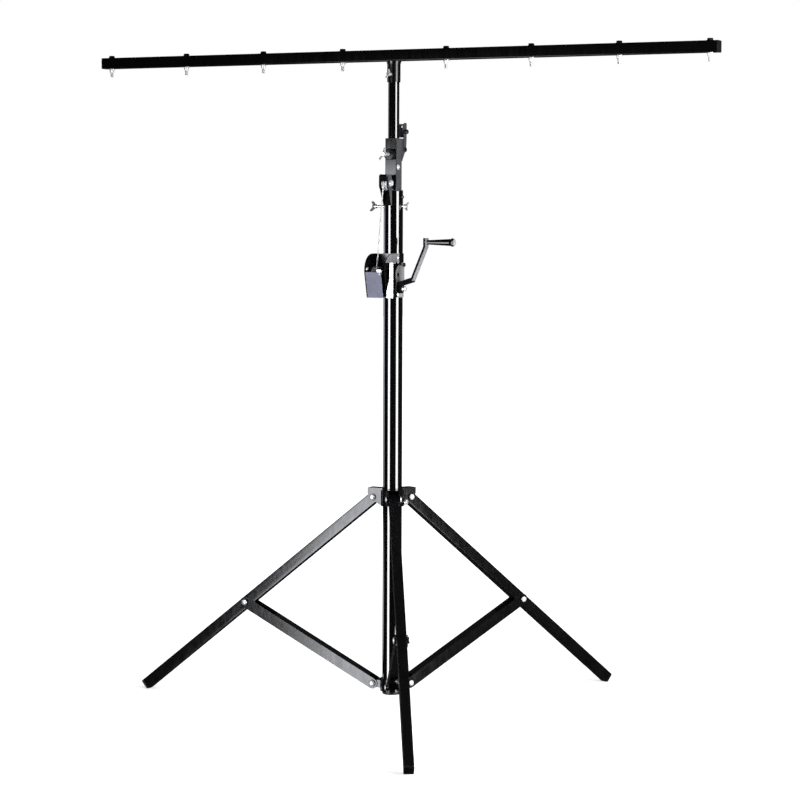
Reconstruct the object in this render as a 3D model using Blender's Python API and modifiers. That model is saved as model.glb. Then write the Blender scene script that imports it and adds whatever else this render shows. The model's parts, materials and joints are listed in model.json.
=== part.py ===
"""Crank light stand: a folding tripod, a telescopic mast raised by a hand winch, and a lamp bar on top.

Metres, +Z up. The origin is on the mast's axis at the floor, +X runs along the lamp bar and the winch's shafts,
and the winch hangs on the mast's -Y side. The stand is open and fully lowered.
"""
import math

import bmesh
import bpy
from mathutils import Matrix, Vector

for item in list(bpy.data.objects):
    bpy.data.objects.remove(item)

# Clearances
SEAT_GAP = 0.0003
RUN_GAP = 0.0005
BOLT_GAP = 0.0004
SINK = 0.0005

# Mast, the outer tube
MAST_RADIUS = 0.030
MAST_WALL = 0.0025
MAST_FOOT_Z = 0.066
MAST_TOP_Z = 1.635
FOOT_PLUG_Z = 0.057
FOOT_PLUG_SPIGOT = 0.022

# Middle tube, the stage that the winch lifts
MIDDLE_RADIUS = 0.0215
MIDDLE_WALL = 0.002
MIDDLE_FOOT_Z = 0.115
FOOT_BUSH_LENGTH = 0.045
GUIDE_FLANGE = 0.0025
GUIDE_BUSH_TAIL = 0.028

# Pole, the stage that is raised by hand
POLE_RADIUS = 0.0175
POLE_WALL = 0.002
POLE_FOOT_Z = 0.620
POLE_BUSH_LENGTH = 0.050

# Head box on the middle tube, with its clamp boss
BOX_WIDTH = 0.040
BOX_WALL = 0.002
BOX_TOP_Z = 1.798
BOX_BASE = 0.005
CLAMP_Z = 1.748
CLAMP_BOSS_RADIUS = 0.016
CLAMP_BOSS_DEPTH = 0.014
CLAMP_SCREW_RADIUS = 0.005
CLAMP_SCREW_REACH = 0.062

# Latch on the back of the head box
LATCH_PIVOT_Y = 0.036
LATCH_PIVOT_Z = 1.764
LATCH_FIN_Y = 0.043
LATCH_FIN_LOW_Z = 1.728
LATCH_SHEET = 0.0025
LATCH_TOP_Z = 1.847
LATCH_WEB_Y = 0.0445
LATCH_KNOB_Y = 0.028
LATCH_KNOB_Z = 1.819
LATCH_KNOB_RADIUS = 0.007
LATCH_PIN_RADIUS = 0.004

# Lamp bar and its socket
BAR_HALF_LENGTH = 1.047
BAR_SIDE = 0.035
BAR_WALL = 0.002
BAR_CENTRE_Z = 2.053
BAR_CAP = 0.003
SOCKET_FOOT_Z = 1.971
SOCKET_WALL = 0.003
SOCKET_LID = 0.004
SOCKET_FLARE = 0.0025
SOCKET_SCREW_Z = 1.995
LAMP_BOLT_FIRST = 0.177
LAMP_BOLT_INSET = 0.026
LAMP_BOLTS_A_SIDE = 4
LAMP_BOLT_RADIUS = 0.005
LAMP_BOLT_TAIL = 0.026

# Tripod
LEG_AZIMUTHS = {"left": 180.0, "right": 61.5, "front": -61.5}
PIVOT_REACH = 0.060
TOP_PIVOT_Z = 0.678
BOTTOM_PIVOT_Z = 0.087
KNEE_REACH = 0.517
KNEE_Z = 0.314
LEG_WIDTH = 0.030
LEG_DEPTH = 0.035
LEG_WALL = 0.002
LEG_HEAD = 0.014
FOOT_PLUG_LENGTH = 0.022
FOOT_CAP_END = 0.006
FOOT_FACET = 0.003
BRACE_DEPTH = 0.034
BRACE_WALL = 0.002
BRACE_SIDE_GAP = 0.0015
BRACE_WEB_FOOT_CUT = 0.024
BRACE_WEB_KNEE_CUT = 0.108
PIVOT_BOLT_RADIUS = 0.005
PIVOT_HEAD_RADIUS = 0.009
PIVOT_HEAD_DEPTH = 0.005

# Collars that carry the legs and the braces
COLLAR_WALL = 0.006
TOP_COLLAR_FOOT_Z = 0.652
TOP_COLLAR_TOP_Z = 0.702
EAR_TOP_Z = 0.708
EAR_LIP_Z = 0.690
EAR_REACH = 0.078
EAR_SHEET = 0.0025
EAR_SIDE_GAP = 0.0008
EAR_RADIUS = 0.0115
BOTTOM_COLLAR_FOOT_Z = 0.0665
BOTTOM_COLLAR_TOP_Z = 0.107
LUG_SHEET = 0.003
LUG_RADIUS = 0.012
LUG_SIDE_GAP = 0.001
COLLAR_SCREW_Z = 0.666
COLLAR_SCREW_RADIUS = 0.004
COLLAR_SCREW_REACH = 0.052

# Mast head: pulley, fork and the two lock screws
CABLE_RADIUS = 0.002
CABLE_INNER_Y = -0.024
PULLEY_X = -0.004
PULLEY_Z = 1.659
PULLEY_GROOVE_RADIUS = 0.0175
PULLEY_RIM_RADIUS = 0.0215
PULLEY_WIDTH = 0.015
FORK_SHEET = 0.0025
FORK_SIDE_GAP = 0.003
FORK_FRONT_Y = -0.069
FORK_TOP_Z = 1.686
FORK_TAIL_DROP = 0.045
FORK_RIGHT_FRONT_Y = -0.058
AXLE_BOLT_RADIUS = 0.004
LOCK_SCREW_DROP = 0.047
LOCK_SCREW_RADIUS = 0.004
LOCK_REACH_RIGHT = 0.047
LOCK_REACH_LEFT = 0.071

# Winch
WINCH_Y = -0.070
DRUM_Z = 1.377
GEAR_MODULE = 0.00125
GEAR_TEETH = 51
PINION_TEETH = 17
GEAR_BACKLASH = 0.00012
GEAR_X = 0.031
GEAR_WIDTH = 0.008
DRUM_CORE_RADIUS = 0.020
DRUM_RIM_RADIUS = 0.030
DRUM_RIM = 0.0022
DRUM_RIGHT_X = 0.012
DRUM_HUB_RADIUS = 0.009
DRUM_AXLE_RADIUS = 0.005
WINDING_PITCH = 0.0046
WINDING_TURNS = 3.5
CABLE_GAP = 0.0004
SHAFT_RADIUS = 0.006
FRAME_SHEET = 0.003
FRAME_LEFT_X = -0.042
FRAME_RIGHT_X = 0.0282
FRAME_TOP_Z = 1.442
FRAME_FOOT_Z = 1.306
FRAME_FRONT_Y = -0.120
FRAME_FOOT_FRONT_Y = -0.101
FRAME_BROW_Y = -0.065
FRAME_BROW_Z = 1.392
COVER_SHEET = 0.002
COVER_TOP_Z = 1.385
COVER_RIGHT_X = 0.014
COVER_BACK_Y = -0.045
GEAR_PLATE_X = 0.047
GEAR_PLATE_SHEET = 0.003
GEAR_PLATE_RADIUS = 0.0305
GEAR_PLATE_Y = -0.054
GEAR_PLATE_BACK_Y = -0.024
SHAFT_LOBE_RADIUS = 0.012
GEAR_PLATE_EAR_Y = -0.042
GEAR_PLATE_EAR = 0.006
GUARD_FRONT_Y = -0.107
GUARD_BACK_Y = -0.086
GUARD_TOP_Z = 1.4145
GUARD_SHEET = 0.002
GUARD_TAPER = 0.010
GUARD_TAPER_FOOT_Z = 1.325
GUARD_TAPER_TOP_Z = 1.365
STRAP_SHEET = 0.0025
STRAP_UPPER_Z = 1.414
STRAP_LOWER_Z = 1.322

# Crank and grip
CRANK_HUB_X = 0.0507
CRANK_HUB_LENGTH = 0.0145
CRANK_HUB_RADIUS = 0.0145
CRANK_BAR_WIDTH = 0.026
CRANK_BAR_THICK = 0.007
CRANK_ROOT_THICK = 0.014
CRANK_ROOT_RISE = 0.0136
CRANK_KNEE_X = 0.1005
CRANK_KNEE_Z = 1.362
GRIP_Z = 1.4775
GRIP_START_X = 0.1475
GRIP_LENGTH = 0.0895
GRIP_NECK_RADIUS = 0.0073
GRIP_SWELL_RADIUS = 0.0105
GRIP_END_RADIUS = 0.0128
GRIP_ROD_RADIUS = 0.004
GRIP_SPACER = 0.002
CRANK_NUT_LENGTH = 0.012

ROUND = 28
SMALL_ROUND = 14
HOLE_ROUND = 10
BOLT_ROUND = 10
LOOP_POINTS = 24

PARTS = bpy.data.collections.new("crank_light_stand")
CUTTERS = bpy.data.collections.new("cutters")
bpy.context.scene.collection.children.link(PARTS)
bpy.context.scene.collection.children.link(CUTTERS)

X_AXIS = Vector((1, 0, 0))
Y_AXIS = Vector((0, 1, 0))
Z_AXIS = Vector((0, 0, 1))


def material(name, colour, roughness, metallic):
    finish = bpy.data.materials.new(name)
    finish.use_nodes = True
    shader = finish.node_tree.nodes["Principled BSDF"]
    shader.inputs["Base Color"].default_value = (*colour, 1)
    shader.inputs["Roughness"].default_value = roughness
    shader.inputs["Metallic"].default_value = metallic
    return finish


GLOSS_BLACK = material("gloss_black_paint", (0.010, 0.010, 0.011), 0.18, 0.0)
SATIN_BLACK = material("satin_black_paint", (0.014, 0.014, 0.016), 0.40, 0.0)
GREY_PAINT = material("grey_blue_paint", (0.20, 0.21, 0.27), 0.45, 0.0)
ZINC = material("zinc_plated_steel", (0.66, 0.67, 0.68), 0.30, 1.0)
CHROME = material("chromed_steel", (0.78, 0.78, 0.79), 0.12, 1.0)
CABLE_STEEL = material("galvanised_cable", (0.62, 0.62, 0.61), 0.42, 1.0)
BLACK_PLASTIC = material("black_nylon", (0.018, 0.018, 0.018), 0.50, 0.0)
BLACK_RUBBER = material("black_rubber", (0.012, 0.012, 0.012), 0.28, 0.0)


def frame_matrix(x_axis, y_axis, place):
    """A matrix whose first two columns are the given directions and whose third is square to both."""
    x_axis = Vector(x_axis).normalized()
    y_axis = Vector(y_axis).normalized()
    z_axis = x_axis.cross(y_axis)
    matrix = Matrix((x_axis, y_axis, z_axis)).transposed().to_4x4()
    matrix.translation = Vector(place)
    return matrix


def lying_in(plane, place):
    """XY keeps an outline flat, YZ stands it square to X, and XZ stands it square to Y."""
    axes = {"XY": (X_AXIS, Y_AXIS), "YZ": (Y_AXIS, Z_AXIS), "XZ": (X_AXIS, Z_AXIS)}
    return frame_matrix(*axes[plane], place)


def along(axis, place):
    """A matrix that stands a turned piece's own Z along a world axis."""
    side = X_AXIS if abs(Vector(axis).normalized().x) < 0.9 else Y_AXIS
    z_axis = Vector(axis).normalized()
    x_axis = (side - side.dot(z_axis) * z_axis).normalized()
    return frame_matrix(x_axis, z_axis.cross(x_axis), place)


def link(piece, finish, matrix, parent=None):
    PARTS.objects.link(piece)
    piece.data.materials.append(finish)
    if parent:
        piece.parent = parent
    piece.matrix_local = matrix
    return piece


def pivot(name, matrix):
    """An empty on a joint's axis, which carries that joint's pieces."""
    empty = bpy.data.objects.new(name, None)
    PARTS.objects.link(empty)
    empty.empty_display_size = 0.03
    empty.matrix_world = matrix
    bpy.context.view_layer.update()
    return empty


def turned(name, profile, finish, matrix, steps=ROUND, parent=None, closed=False):
    """A profile of (radius, height) from the top down its outer side, spun about its own Z."""
    mesh = bpy.data.meshes.new(name)
    edges = [(i, i + 1) for i in range(len(profile) - 1)]
    if closed:
        edges.append((len(profile) - 1, 0))
    mesh.from_pydata([(radius, 0, height) for radius, height in profile], edges, [])
    piece = link(bpy.data.objects.new(name, mesh), finish, matrix, parent)
    spin = piece.modifiers.new("spin", "SCREW")
    spin.steps = steps
    spin.render_steps = steps
    spin.use_merge_vertices = True
    spin.merge_threshold = 0.00001
    spin.use_smooth_shade = True
    return piece


def tube(name, outer, wall, low, high, finish, steps=ROUND, parent=None, matrix=None):
    profile = [(outer, high), (outer, low), (outer - wall, low), (outer - wall, high)]
    return turned(name, profile, finish, matrix or Matrix(), steps, parent, closed=True)


def meshed(curve_object):
    """The curve as a mesh with its loose caps welded, in the curve's place."""
    bpy.context.view_layer.update()
    name = curve_object.name
    parent = curve_object.parent
    matrix = curve_object.matrix_local.copy()
    graph = bpy.context.evaluated_depsgraph_get()
    mesh = bpy.data.meshes.new_from_object(curve_object.evaluated_get(graph))
    bpy.data.objects.remove(curve_object)
    weld(mesh)
    piece = bpy.data.objects.new(name, mesh)
    PARTS.objects.link(piece)
    if parent:
        piece.parent = parent
    piece.matrix_local = matrix
    return piece


def weld(mesh):
    shell = bmesh.new()
    shell.from_mesh(mesh)
    bmesh.ops.remove_doubles(shell, verts=shell.verts, dist=0.000001)
    bmesh.ops.recalc_face_normals(shell, faces=shell.faces)
    shell.to_mesh(mesh)
    shell.free()


def plate(name, outlines, thickness, finish, matrix, parent=None):
    """A flat sheet from closed outlines, the later ones holes, centred on its own plane."""
    curve = bpy.data.curves.new(name, "CURVE")
    curve.dimensions = "2D"
    curve.fill_mode = "BOTH"
    curve.extrude = thickness / 2
    for outline in outlines:
        spline = curve.splines.new("POLY")
        spline.points.add(len(outline) - 1)
        for point, (x, y) in zip(spline.points, outline):
            point.co = (x, y, 0, 1)
        spline.use_cyclic_u = True
    return meshed(link(bpy.data.objects.new(name, curve), finish, matrix, parent))


def wire(name, points, radius, finish, resolution=1):
    curve = bpy.data.curves.new(name, "CURVE")
    curve.dimensions = "3D"
    curve.bevel_depth = radius
    curve.bevel_resolution = resolution
    curve.use_fill_caps = True
    spline = curve.splines.new("POLY")
    spline.points.add(len(points) - 1)
    for point, place in zip(spline.points, points):
        point.co = (*place, 1)
    return meshed(link(bpy.data.objects.new(name, curve), finish, Matrix()))


def block(name, low, high, finish, parent=None):
    """A box between two corners."""
    centre = [(a + b) / 2 for a, b in zip(low, high)]
    half_x = (high[0] - low[0]) / 2
    half_y = (high[1] - low[1]) / 2
    outline = [(-half_x, -half_y), (half_x, -half_y), (half_x, half_y), (-half_x, half_y)]
    return plate(name, [outline], high[2] - low[2], finish, Matrix.Translation(centre), parent)


def boolean(piece, tool, operation, solver="EXACT"):
    for collection in list(tool.users_collection):
        collection.objects.unlink(tool)
    CUTTERS.objects.link(tool)
    tool.hide_render = True
    tool.display_type = "WIRE"
    step = piece.modifiers.new(operation.lower(), "BOOLEAN")
    step.operation = operation
    step.solver = solver
    step.object = tool
    return piece


def cut(piece, *tools, solver="EXACT"):
    for tool in tools:
        boolean(piece, tool, "DIFFERENCE", solver)
    return piece


def fuse(piece, *tools):
    for tool in tools:
        boolean(piece, tool, "UNION")
    return piece


def rod(name, radius, start, end, finish, steps=SMALL_ROUND, parent=None):
    """A plain round bar between two points."""
    start = Vector(start)
    end = Vector(end)
    length = (end - start).length
    profile = [(0, length), (radius, length), (radius, 0), (0, 0)]
    return turned(name, profile, finish, along(end - start, start), steps, parent)


def drill(piece, radius, start, end, parent=None, solver="EXACT"):
    """A round hole through a piece; its corners stand outside the round that it clears."""
    circumscribed = radius / math.cos(math.pi / HOLE_ROUND)
    tool = rod(piece.name + "_hole", circumscribed, start, end, ZINC, HOLE_ROUND, parent)
    return cut(piece, tool, solver=solver)


def arc(centre, radius, start, end, points):
    """Points on a circle from one angle to another, in degrees."""
    turn = [math.radians(start + (end - start) * i / (points - 1)) for i in range(points)]
    return [(centre[0] + radius * math.cos(a), centre[1] + radius * math.sin(a)) for a in turn]


def circle(centre, radius, points=HOLE_ROUND):
    """A hole's outline; its corners stand outside the round that it clears."""
    return arc(centre, radius / math.cos(math.pi / points), 0, 360 - 360 / points, points)


def rounded_box(width, height, corner, points=3):
    """A rectangle with round corners about the origin."""
    x = width / 2 - corner
    y = height / 2 - corner
    outline = []
    for place, start in (((x, y), 0), ((-x, y), 90), ((-x, -y), 180), ((x, -y), 270)):
        outline += arc(place, corner, start, start + 90, points)
    return outline


def wing_outline(span, hub_radius, height):
    """A wing screw's two blades in one flat outline, the blades rising away from the hub."""
    right = [
        (hub_radius * 0.6, 0.0),
        (span * 0.62, height * 0.30),
        (span * 0.94, height * 0.55),
        (span, height * 0.86),
        (span * 0.88, height),
        (span * 0.66, height * 0.92),
        (hub_radius * 0.7, height * 0.62),
    ]
    return right + [(-x, y) for x, y in reversed(right)]


def wing_blades(name, span, hub_radius, height, thickness, axis, foot, across, parent=None):
    """The blades as a sheet that holds the screw's axis; foot is the hub's foot on that axis."""
    matrix = frame_matrix(across, axis, foot)
    return plate(name, [wing_outline(span, hub_radius, height)], thickness, CHROME, matrix, parent)


def wing_screw(name, tip, axis, reach, screw_radius, hub_radius, hub_length, span, height, across, collar=0.0):
    """A clamp screw from its tip out along its axis, with a hub and two blades at its outer end."""
    axis = Vector(axis).normalized()
    tip = Vector(tip)
    hub_foot = reach - hub_length
    profile = [(0, reach), (hub_radius * 0.8, reach), (hub_radius, reach - hub_length * 0.3), (hub_radius, hub_foot)]
    if collar:
        profile += [(hub_radius, hub_foot), (screw_radius, hub_foot - collar)]
    else:
        profile += [(screw_radius, hub_foot)]
    profile += [(screw_radius, 0.001), (screw_radius - 0.001, 0), (0, 0)]
    clean = [profile[0]]
    for point in profile[1:]:
        if point != clean[-1]:
            clean.append(point)
    screw = turned(name, clean, CHROME, along(axis, tip), SMALL_ROUND)
    foot = tip + axis * (hub_foot + hub_length * 0.15)
    return fuse(screw, wing_blades(name + "_blades", span, hub_radius, height, 0.003, axis, foot, across))


def middle_top_z():
    return MAST_TOP_Z + GUIDE_FLANGE + 2 * SEAT_GAP


def lock_screw_z():
    return MAST_TOP_Z - LOCK_SCREW_DROP


def build_mast():
    inner = MAST_RADIUS - MAST_WALL
    mast = tube("mast_tube", MAST_RADIUS, MAST_WALL, MAST_FOOT_Z, MAST_TOP_Z, GLOSS_BLACK)
    reach = MAST_RADIUS + 0.01
    drill(mast, LOCK_SCREW_RADIUS + BOLT_GAP, (-reach, 0, lock_screw_z()), (reach, 0, lock_screw_z()))
    spigot = inner - SEAT_GAP
    foot_top = MAST_FOOT_Z - SEAT_GAP
    profile = [
        (spigot - 0.003, foot_top + FOOT_PLUG_SPIGOT),
        (spigot, foot_top + FOOT_PLUG_SPIGOT - 0.003),
        (spigot, foot_top),
        (MAST_RADIUS, foot_top),
        (MAST_RADIUS, FOOT_PLUG_Z + 0.002),
        (MAST_RADIUS - 0.002, FOOT_PLUG_Z),
        (spigot - 0.003, FOOT_PLUG_Z),
    ]
    turned("mast_foot_plug", profile, BLACK_PLASTIC, Matrix(), closed=True)


def build_guide_bush():
    """A nylon ring in the mast's mouth, with a flange on top and a slot for the lift cable."""
    outer = MAST_RADIUS - MAST_WALL - SEAT_GAP
    inner = MIDDLE_RADIUS + RUN_GAP
    flange_foot = MAST_TOP_Z + SEAT_GAP
    bush_foot = lock_screw_z() - GUIDE_BUSH_TAIL
    top = flange_foot + GUIDE_FLANGE
    profile = [
        (MAST_RADIUS, top),
        (MAST_RADIUS, flange_foot),
        (outer, flange_foot),
        (outer, bush_foot),
        (inner, bush_foot),
        (inner, top),
    ]
    bush = turned("mast_guide_bush", profile, BLACK_PLASTIC, Matrix(), closed=True)
    reach = MAST_RADIUS + 0.01
    drill(bush, LOCK_SCREW_RADIUS + BOLT_GAP, (-reach, 0, lock_screw_z()), (reach, 0, lock_screw_z()))
    half = CABLE_RADIUS + 0.0015
    low = (PULLEY_X - half, CABLE_INNER_Y - CABLE_RADIUS - 0.0012, bush_foot - 0.01)
    high = (PULLEY_X + half, -inner * 0.7, top + 0.01)
    cut(bush, block("cable_slot", low, high, ZINC))


def build_middle():
    foot = MIDDLE_FOOT_Z
    tube("middle_tube", MIDDLE_RADIUS, MIDDLE_WALL, foot, middle_top_z(), GLOSS_BLACK)
    outer = MAST_RADIUS - MAST_WALL - RUN_GAP
    lip = MIDDLE_RADIUS - MIDDLE_WALL
    seat = MIDDLE_RADIUS + SEAT_GAP
    top = foot + FOOT_BUSH_LENGTH
    profile = [
        (outer, top),
        (outer, foot - 0.008),
        (outer - 0.002, foot - 0.010),
        (lip, foot - 0.010),
        (lip, foot - SEAT_GAP),
        (seat, foot - SEAT_GAP),
        (seat, top),
    ]
    bush = turned("middle_foot_bush", profile, BLACK_PLASTIC, Matrix(), closed=True)
    ferrule = CABLE_RADIUS + 0.0002
    start = (PULLEY_X, CABLE_INNER_Y, top - 0.004)
    end = (PULLEY_X, CABLE_INNER_Y, cable_anchor_z())
    fuse(bush, rod("cable_ferrule", ferrule, start, end, ZINC, 12))


def cable_anchor_z():
    return MIDDLE_FOOT_Z + FOOT_BUSH_LENGTH + 0.010


def build_head_box():
    """A square tube on the middle tube's end, with a round-bored base and a clamp boss in front."""
    foot = middle_top_z() + SEAT_GAP
    middle = Matrix.Translation((0, 0, (foot + BOX_TOP_Z) / 2))
    box = plate("head_box", [rounded_box(BOX_WIDTH, BOX_WIDTH, 0.003)], BOX_TOP_Z - foot, SATIN_BLACK, middle)
    front = -BOX_WIDTH / 2
    boss_profile = [
        (0, CLAMP_BOSS_DEPTH),
        (CLAMP_BOSS_RADIUS - 0.002, CLAMP_BOSS_DEPTH),
        (CLAMP_BOSS_RADIUS, CLAMP_BOSS_DEPTH - 0.002),
        (CLAMP_BOSS_RADIUS, 0),
        (0, 0),
    ]
    boss_matrix = along(-Y_AXIS, (0, front + BOX_WALL / 2, CLAMP_Z))
    fuse(box, turned("clamp_boss", boss_profile, BLACK_PLASTIC, boss_matrix, 20))
    inner = BOX_WIDTH - 2 * BOX_WALL
    depth = BOX_TOP_Z - foot - BOX_BASE
    bore_place = Matrix.Translation((0, 0, foot + BOX_BASE + depth))
    cut(box, plate("box_bore", [rounded_box(inner, inner, 0.001)], 2 * depth, SATIN_BLACK, bore_place))
    pole_way = POLE_RADIUS + BOLT_GAP
    cut(box, rod("pole_way", pole_way, (0, 0, foot - 0.01), (0, 0, foot + 2 * BOX_BASE), SATIN_BLACK, ROUND))
    hole_end = (0, front - CLAMP_BOSS_DEPTH - 0.01, CLAMP_Z)
    drill(box, CLAMP_SCREW_RADIUS + BOLT_GAP, (0, front + 0.01, CLAMP_Z), hole_end)


def build_clamp_screw():
    tip = (0, -POLE_RADIUS - SEAT_GAP, CLAMP_Z)
    across = Vector((math.cos(math.radians(62)), 0, math.sin(math.radians(62))))
    wing_screw("head_clamp_screw", tip, -Y_AXIS, CLAMP_SCREW_REACH, CLAMP_SCREW_RADIUS, 0.0075, 0.016, 0.021, 0.020,
               across, 0.002)


def build_latch():
    """A fin bracket behind the head box, and a sprung lever that straddles it."""
    back = BOX_WIDTH / 2
    half = BOX_WIDTH / 2
    web_y = back + SEAT_GAP + LATCH_SHEET / 2
    web_low = (-half, web_y - LATCH_SHEET / 2, LATCH_FIN_LOW_Z)
    web_high = (half, web_y + LATCH_SHEET / 2, BOX_TOP_Z)
    bracket = block("latch_bracket", web_low, web_high, SATIN_BLACK)
    fin = [
        (back + SEAT_GAP, LATCH_FIN_LOW_Z),
        (LATCH_FIN_Y, LATCH_PIVOT_Z - 0.006),
        (LATCH_FIN_Y, BOX_TOP_Z),
        (back + SEAT_GAP, BOX_TOP_Z),
    ]
    hole = circle((LATCH_PIVOT_Y, LATCH_PIVOT_Z), LATCH_PIN_RADIUS + BOLT_GAP)
    for side in (-1, 1):
        centre = side * (half - LATCH_SHEET / 2)
        fuse(bracket, plate(f"fin_{side}", [fin, hole], LATCH_SHEET, SATIN_BLACK, lying_in("YZ", (centre, 0, 0))))
    lever_in = half + SEAT_GAP
    lever_out = lever_in + LATCH_SHEET
    pin_reach = lever_out + SEAT_GAP
    profile = [
        (0, pin_reach + 0.003),
        (0.0065, pin_reach + 0.003),
        (0.0075, pin_reach),
        (LATCH_PIN_RADIUS, pin_reach),
        (LATCH_PIN_RADIUS, -pin_reach),
        (0.0075, -pin_reach),
        (0.0065, -pin_reach - 0.003),
        (0, -pin_reach - 0.003),
    ]
    turned("latch_pivot_pin", profile, BLACK_PLASTIC, along(X_AXIS, (0, LATCH_PIVOT_Y, LATCH_PIVOT_Z)), 12)
    joint = pivot("latch_joint", Matrix.Translation((0, LATCH_PIVOT_Y, LATCH_PIVOT_Z)))
    build_latch_lever(joint, lever_in, lever_out)


def build_latch_lever(joint, lever_in, lever_out):
    top = LATCH_TOP_Z - LATCH_PIVOT_Z
    web_y = LATCH_WEB_Y - LATCH_PIVOT_Y
    front = 0.021 - LATCH_PIVOT_Y
    low_web = BOX_TOP_Z - LATCH_PIVOT_Z + 0.004
    outer = web_y + LATCH_SHEET
    radius = 0.0085
    cheek = arc((0, 0), radius, 180, 360, 7)
    cheek += [(outer, low_web), (outer, top - 0.003), (outer - 0.003, top), (front + 0.012, top)]
    cheek += [(front, top - 0.010), (front - 0.002, top - 0.022), (-radius, low_web + 0.004)]
    hole = circle((0, 0), LATCH_PIN_RADIUS + BOLT_GAP)
    place = lying_in("YZ", ((lever_in + lever_out) / 2, 0, 0))
    lever = plate("latch_lever", [cheek, hole], LATCH_SHEET, SATIN_BLACK, place, joint)
    other = lying_in("YZ", (-(lever_in + lever_out) / 2, 0, 0))
    fuse(lever, plate("latch_cheek", [cheek, hole], LATCH_SHEET, SATIN_BLACK, other, joint))
    web = [(-lever_out, low_web), (lever_out, low_web), (lever_out, top - 0.003), (-lever_out, top - 0.003)]
    eyes = [circle((side * 0.009, top - 0.012), 0.0042, 12) for side in (-1, 1)]
    web_place = lying_in("XZ", (0, web_y + LATCH_SHEET / 2, 0))
    fuse(lever, plate("latch_web", [web, *eyes], LATCH_SHEET, SATIN_BLACK, web_place, joint))
    knob_y = LATCH_KNOB_Y - LATCH_PIVOT_Y
    knob_z = LATCH_KNOB_Z - LATCH_PIVOT_Z
    length = 0.013
    start = lever_out + SEAT_GAP
    profile = [
        (0, length),
        (LATCH_KNOB_RADIUS - 0.0015, length),
        (LATCH_KNOB_RADIUS, length - 0.0015),
        (LATCH_KNOB_RADIUS, 0.002),
        (LATCH_KNOB_RADIUS - 0.001, 0),
        (0, 0),
    ]
    turned("latch_knob", profile, BLACK_PLASTIC, along(X_AXIS, (start, knob_y, knob_z)), SMALL_ROUND, joint)


def build_pole():
    top = BAR_CENTRE_Z - BAR_SIDE / 2 - SOCKET_LID - 2 * SEAT_GAP
    tube("pole_tube", POLE_RADIUS, POLE_WALL, POLE_FOOT_Z, top, GLOSS_BLACK)
    outer = MIDDLE_RADIUS - MIDDLE_WALL - 0.0004
    seat = POLE_RADIUS + SEAT_GAP
    lip = POLE_RADIUS - POLE_WALL
    foot = POLE_FOOT_Z
    profile = [
        (outer, foot + POLE_BUSH_LENGTH),
        (outer, foot - 0.006),
        (outer - 0.002, foot - 0.008),
        (lip, foot - 0.008),
        (lip, foot - SEAT_GAP),
        (seat, foot - SEAT_GAP),
        (seat, foot + POLE_BUSH_LENGTH),
    ]
    turned("pole_foot_bush", profile, BLACK_PLASTIC, Matrix(), closed=True)


def build_socket():
    """The cup under the lamp bar that turns on the pole's end."""
    top = BAR_CENTRE_Z - BAR_SIDE / 2 - SEAT_GAP
    inner = POLE_RADIUS + SEAT_GAP
    outer = inner + SOCKET_WALL
    profile = [
        (0, top),
        (outer + SOCKET_FLARE, top),
        (outer, top - 0.010),
        (outer, SOCKET_FOOT_Z + 0.0015),
        (outer - 0.0015, SOCKET_FOOT_Z),
        (inner, SOCKET_FOOT_Z),
        (inner, top - SOCKET_LID),
        (0, top - SOCKET_LID),
    ]
    socket = turned("bar_socket", profile, SATIN_BLACK, Matrix())
    drill(socket, 0.004 + BOLT_GAP, (0, -inner + 0.004, SOCKET_SCREW_Z), (0, -outer - 0.01, SOCKET_SCREW_Z))
    wing_screw("socket_thumbscrew", (0, -POLE_RADIUS - SEAT_GAP, SOCKET_SCREW_Z), -Y_AXIS, 0.026, 0.004, 0.0062, 0.012,
               0.015, 0.016, Vector((math.cos(math.radians(70)), 0, math.sin(math.radians(70)))))


def lamp_bolt_places():
    pitch = (BAR_HALF_LENGTH - LAMP_BOLT_INSET - LAMP_BOLT_FIRST) / (LAMP_BOLTS_A_SIDE - 1)
    steps = [LAMP_BOLT_FIRST + i * pitch for i in range(LAMP_BOLTS_A_SIDE)]
    return [-x for x in reversed(steps)] + steps


def build_lamp_bar():
    length = 2 * BAR_HALF_LENGTH
    outline = rounded_box(BAR_SIDE, BAR_SIDE, 0.003)
    bore = rounded_box(BAR_SIDE - 2 * BAR_WALL, BAR_SIDE - 2 * BAR_WALL, 0.001)
    bar = plate("lamp_bar", [outline, bore], length, SATIN_BLACK, lying_in("YZ", (0, 0, BAR_CENTRE_Z)))
    for x in lamp_bolt_places():
        low = (x, 0, BAR_CENTRE_Z - BAR_SIDE)
        high = (x, 0, BAR_CENTRE_Z + BAR_SIDE)
        drill(bar, LAMP_BOLT_RADIUS + BOLT_GAP, low, high, solver="MANIFOLD")
    for name, side in (("left", -1), ("right", 1)):
        build_bar_cap(name, side)


def build_bar_cap(name, side):
    """A pressed-in end cap: a plate over the tube's end and a plug inside it."""
    end = side * (BAR_HALF_LENGTH + SEAT_GAP)
    plug = BAR_SIDE - 2 * BAR_WALL - 2 * SEAT_GAP
    cover = rounded_box(BAR_SIDE, BAR_SIDE, 0.003)
    place = lying_in("YZ", (end + side * BAR_CAP / 2, 0, BAR_CENTRE_Z))
    cap = plate(f"bar_cap_{name}", [cover], BAR_CAP, BLACK_PLASTIC, place)
    depth = 0.014
    inner = lying_in("YZ", (end - side * (depth / 2 - BAR_CAP / 2), 0, BAR_CENTRE_Z))
    fuse(cap, plate(f"bar_plug_{name}", [rounded_box(plug, plug, 0.001)], depth + BAR_CAP / 2, BLACK_PLASTIC, inner))


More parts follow.
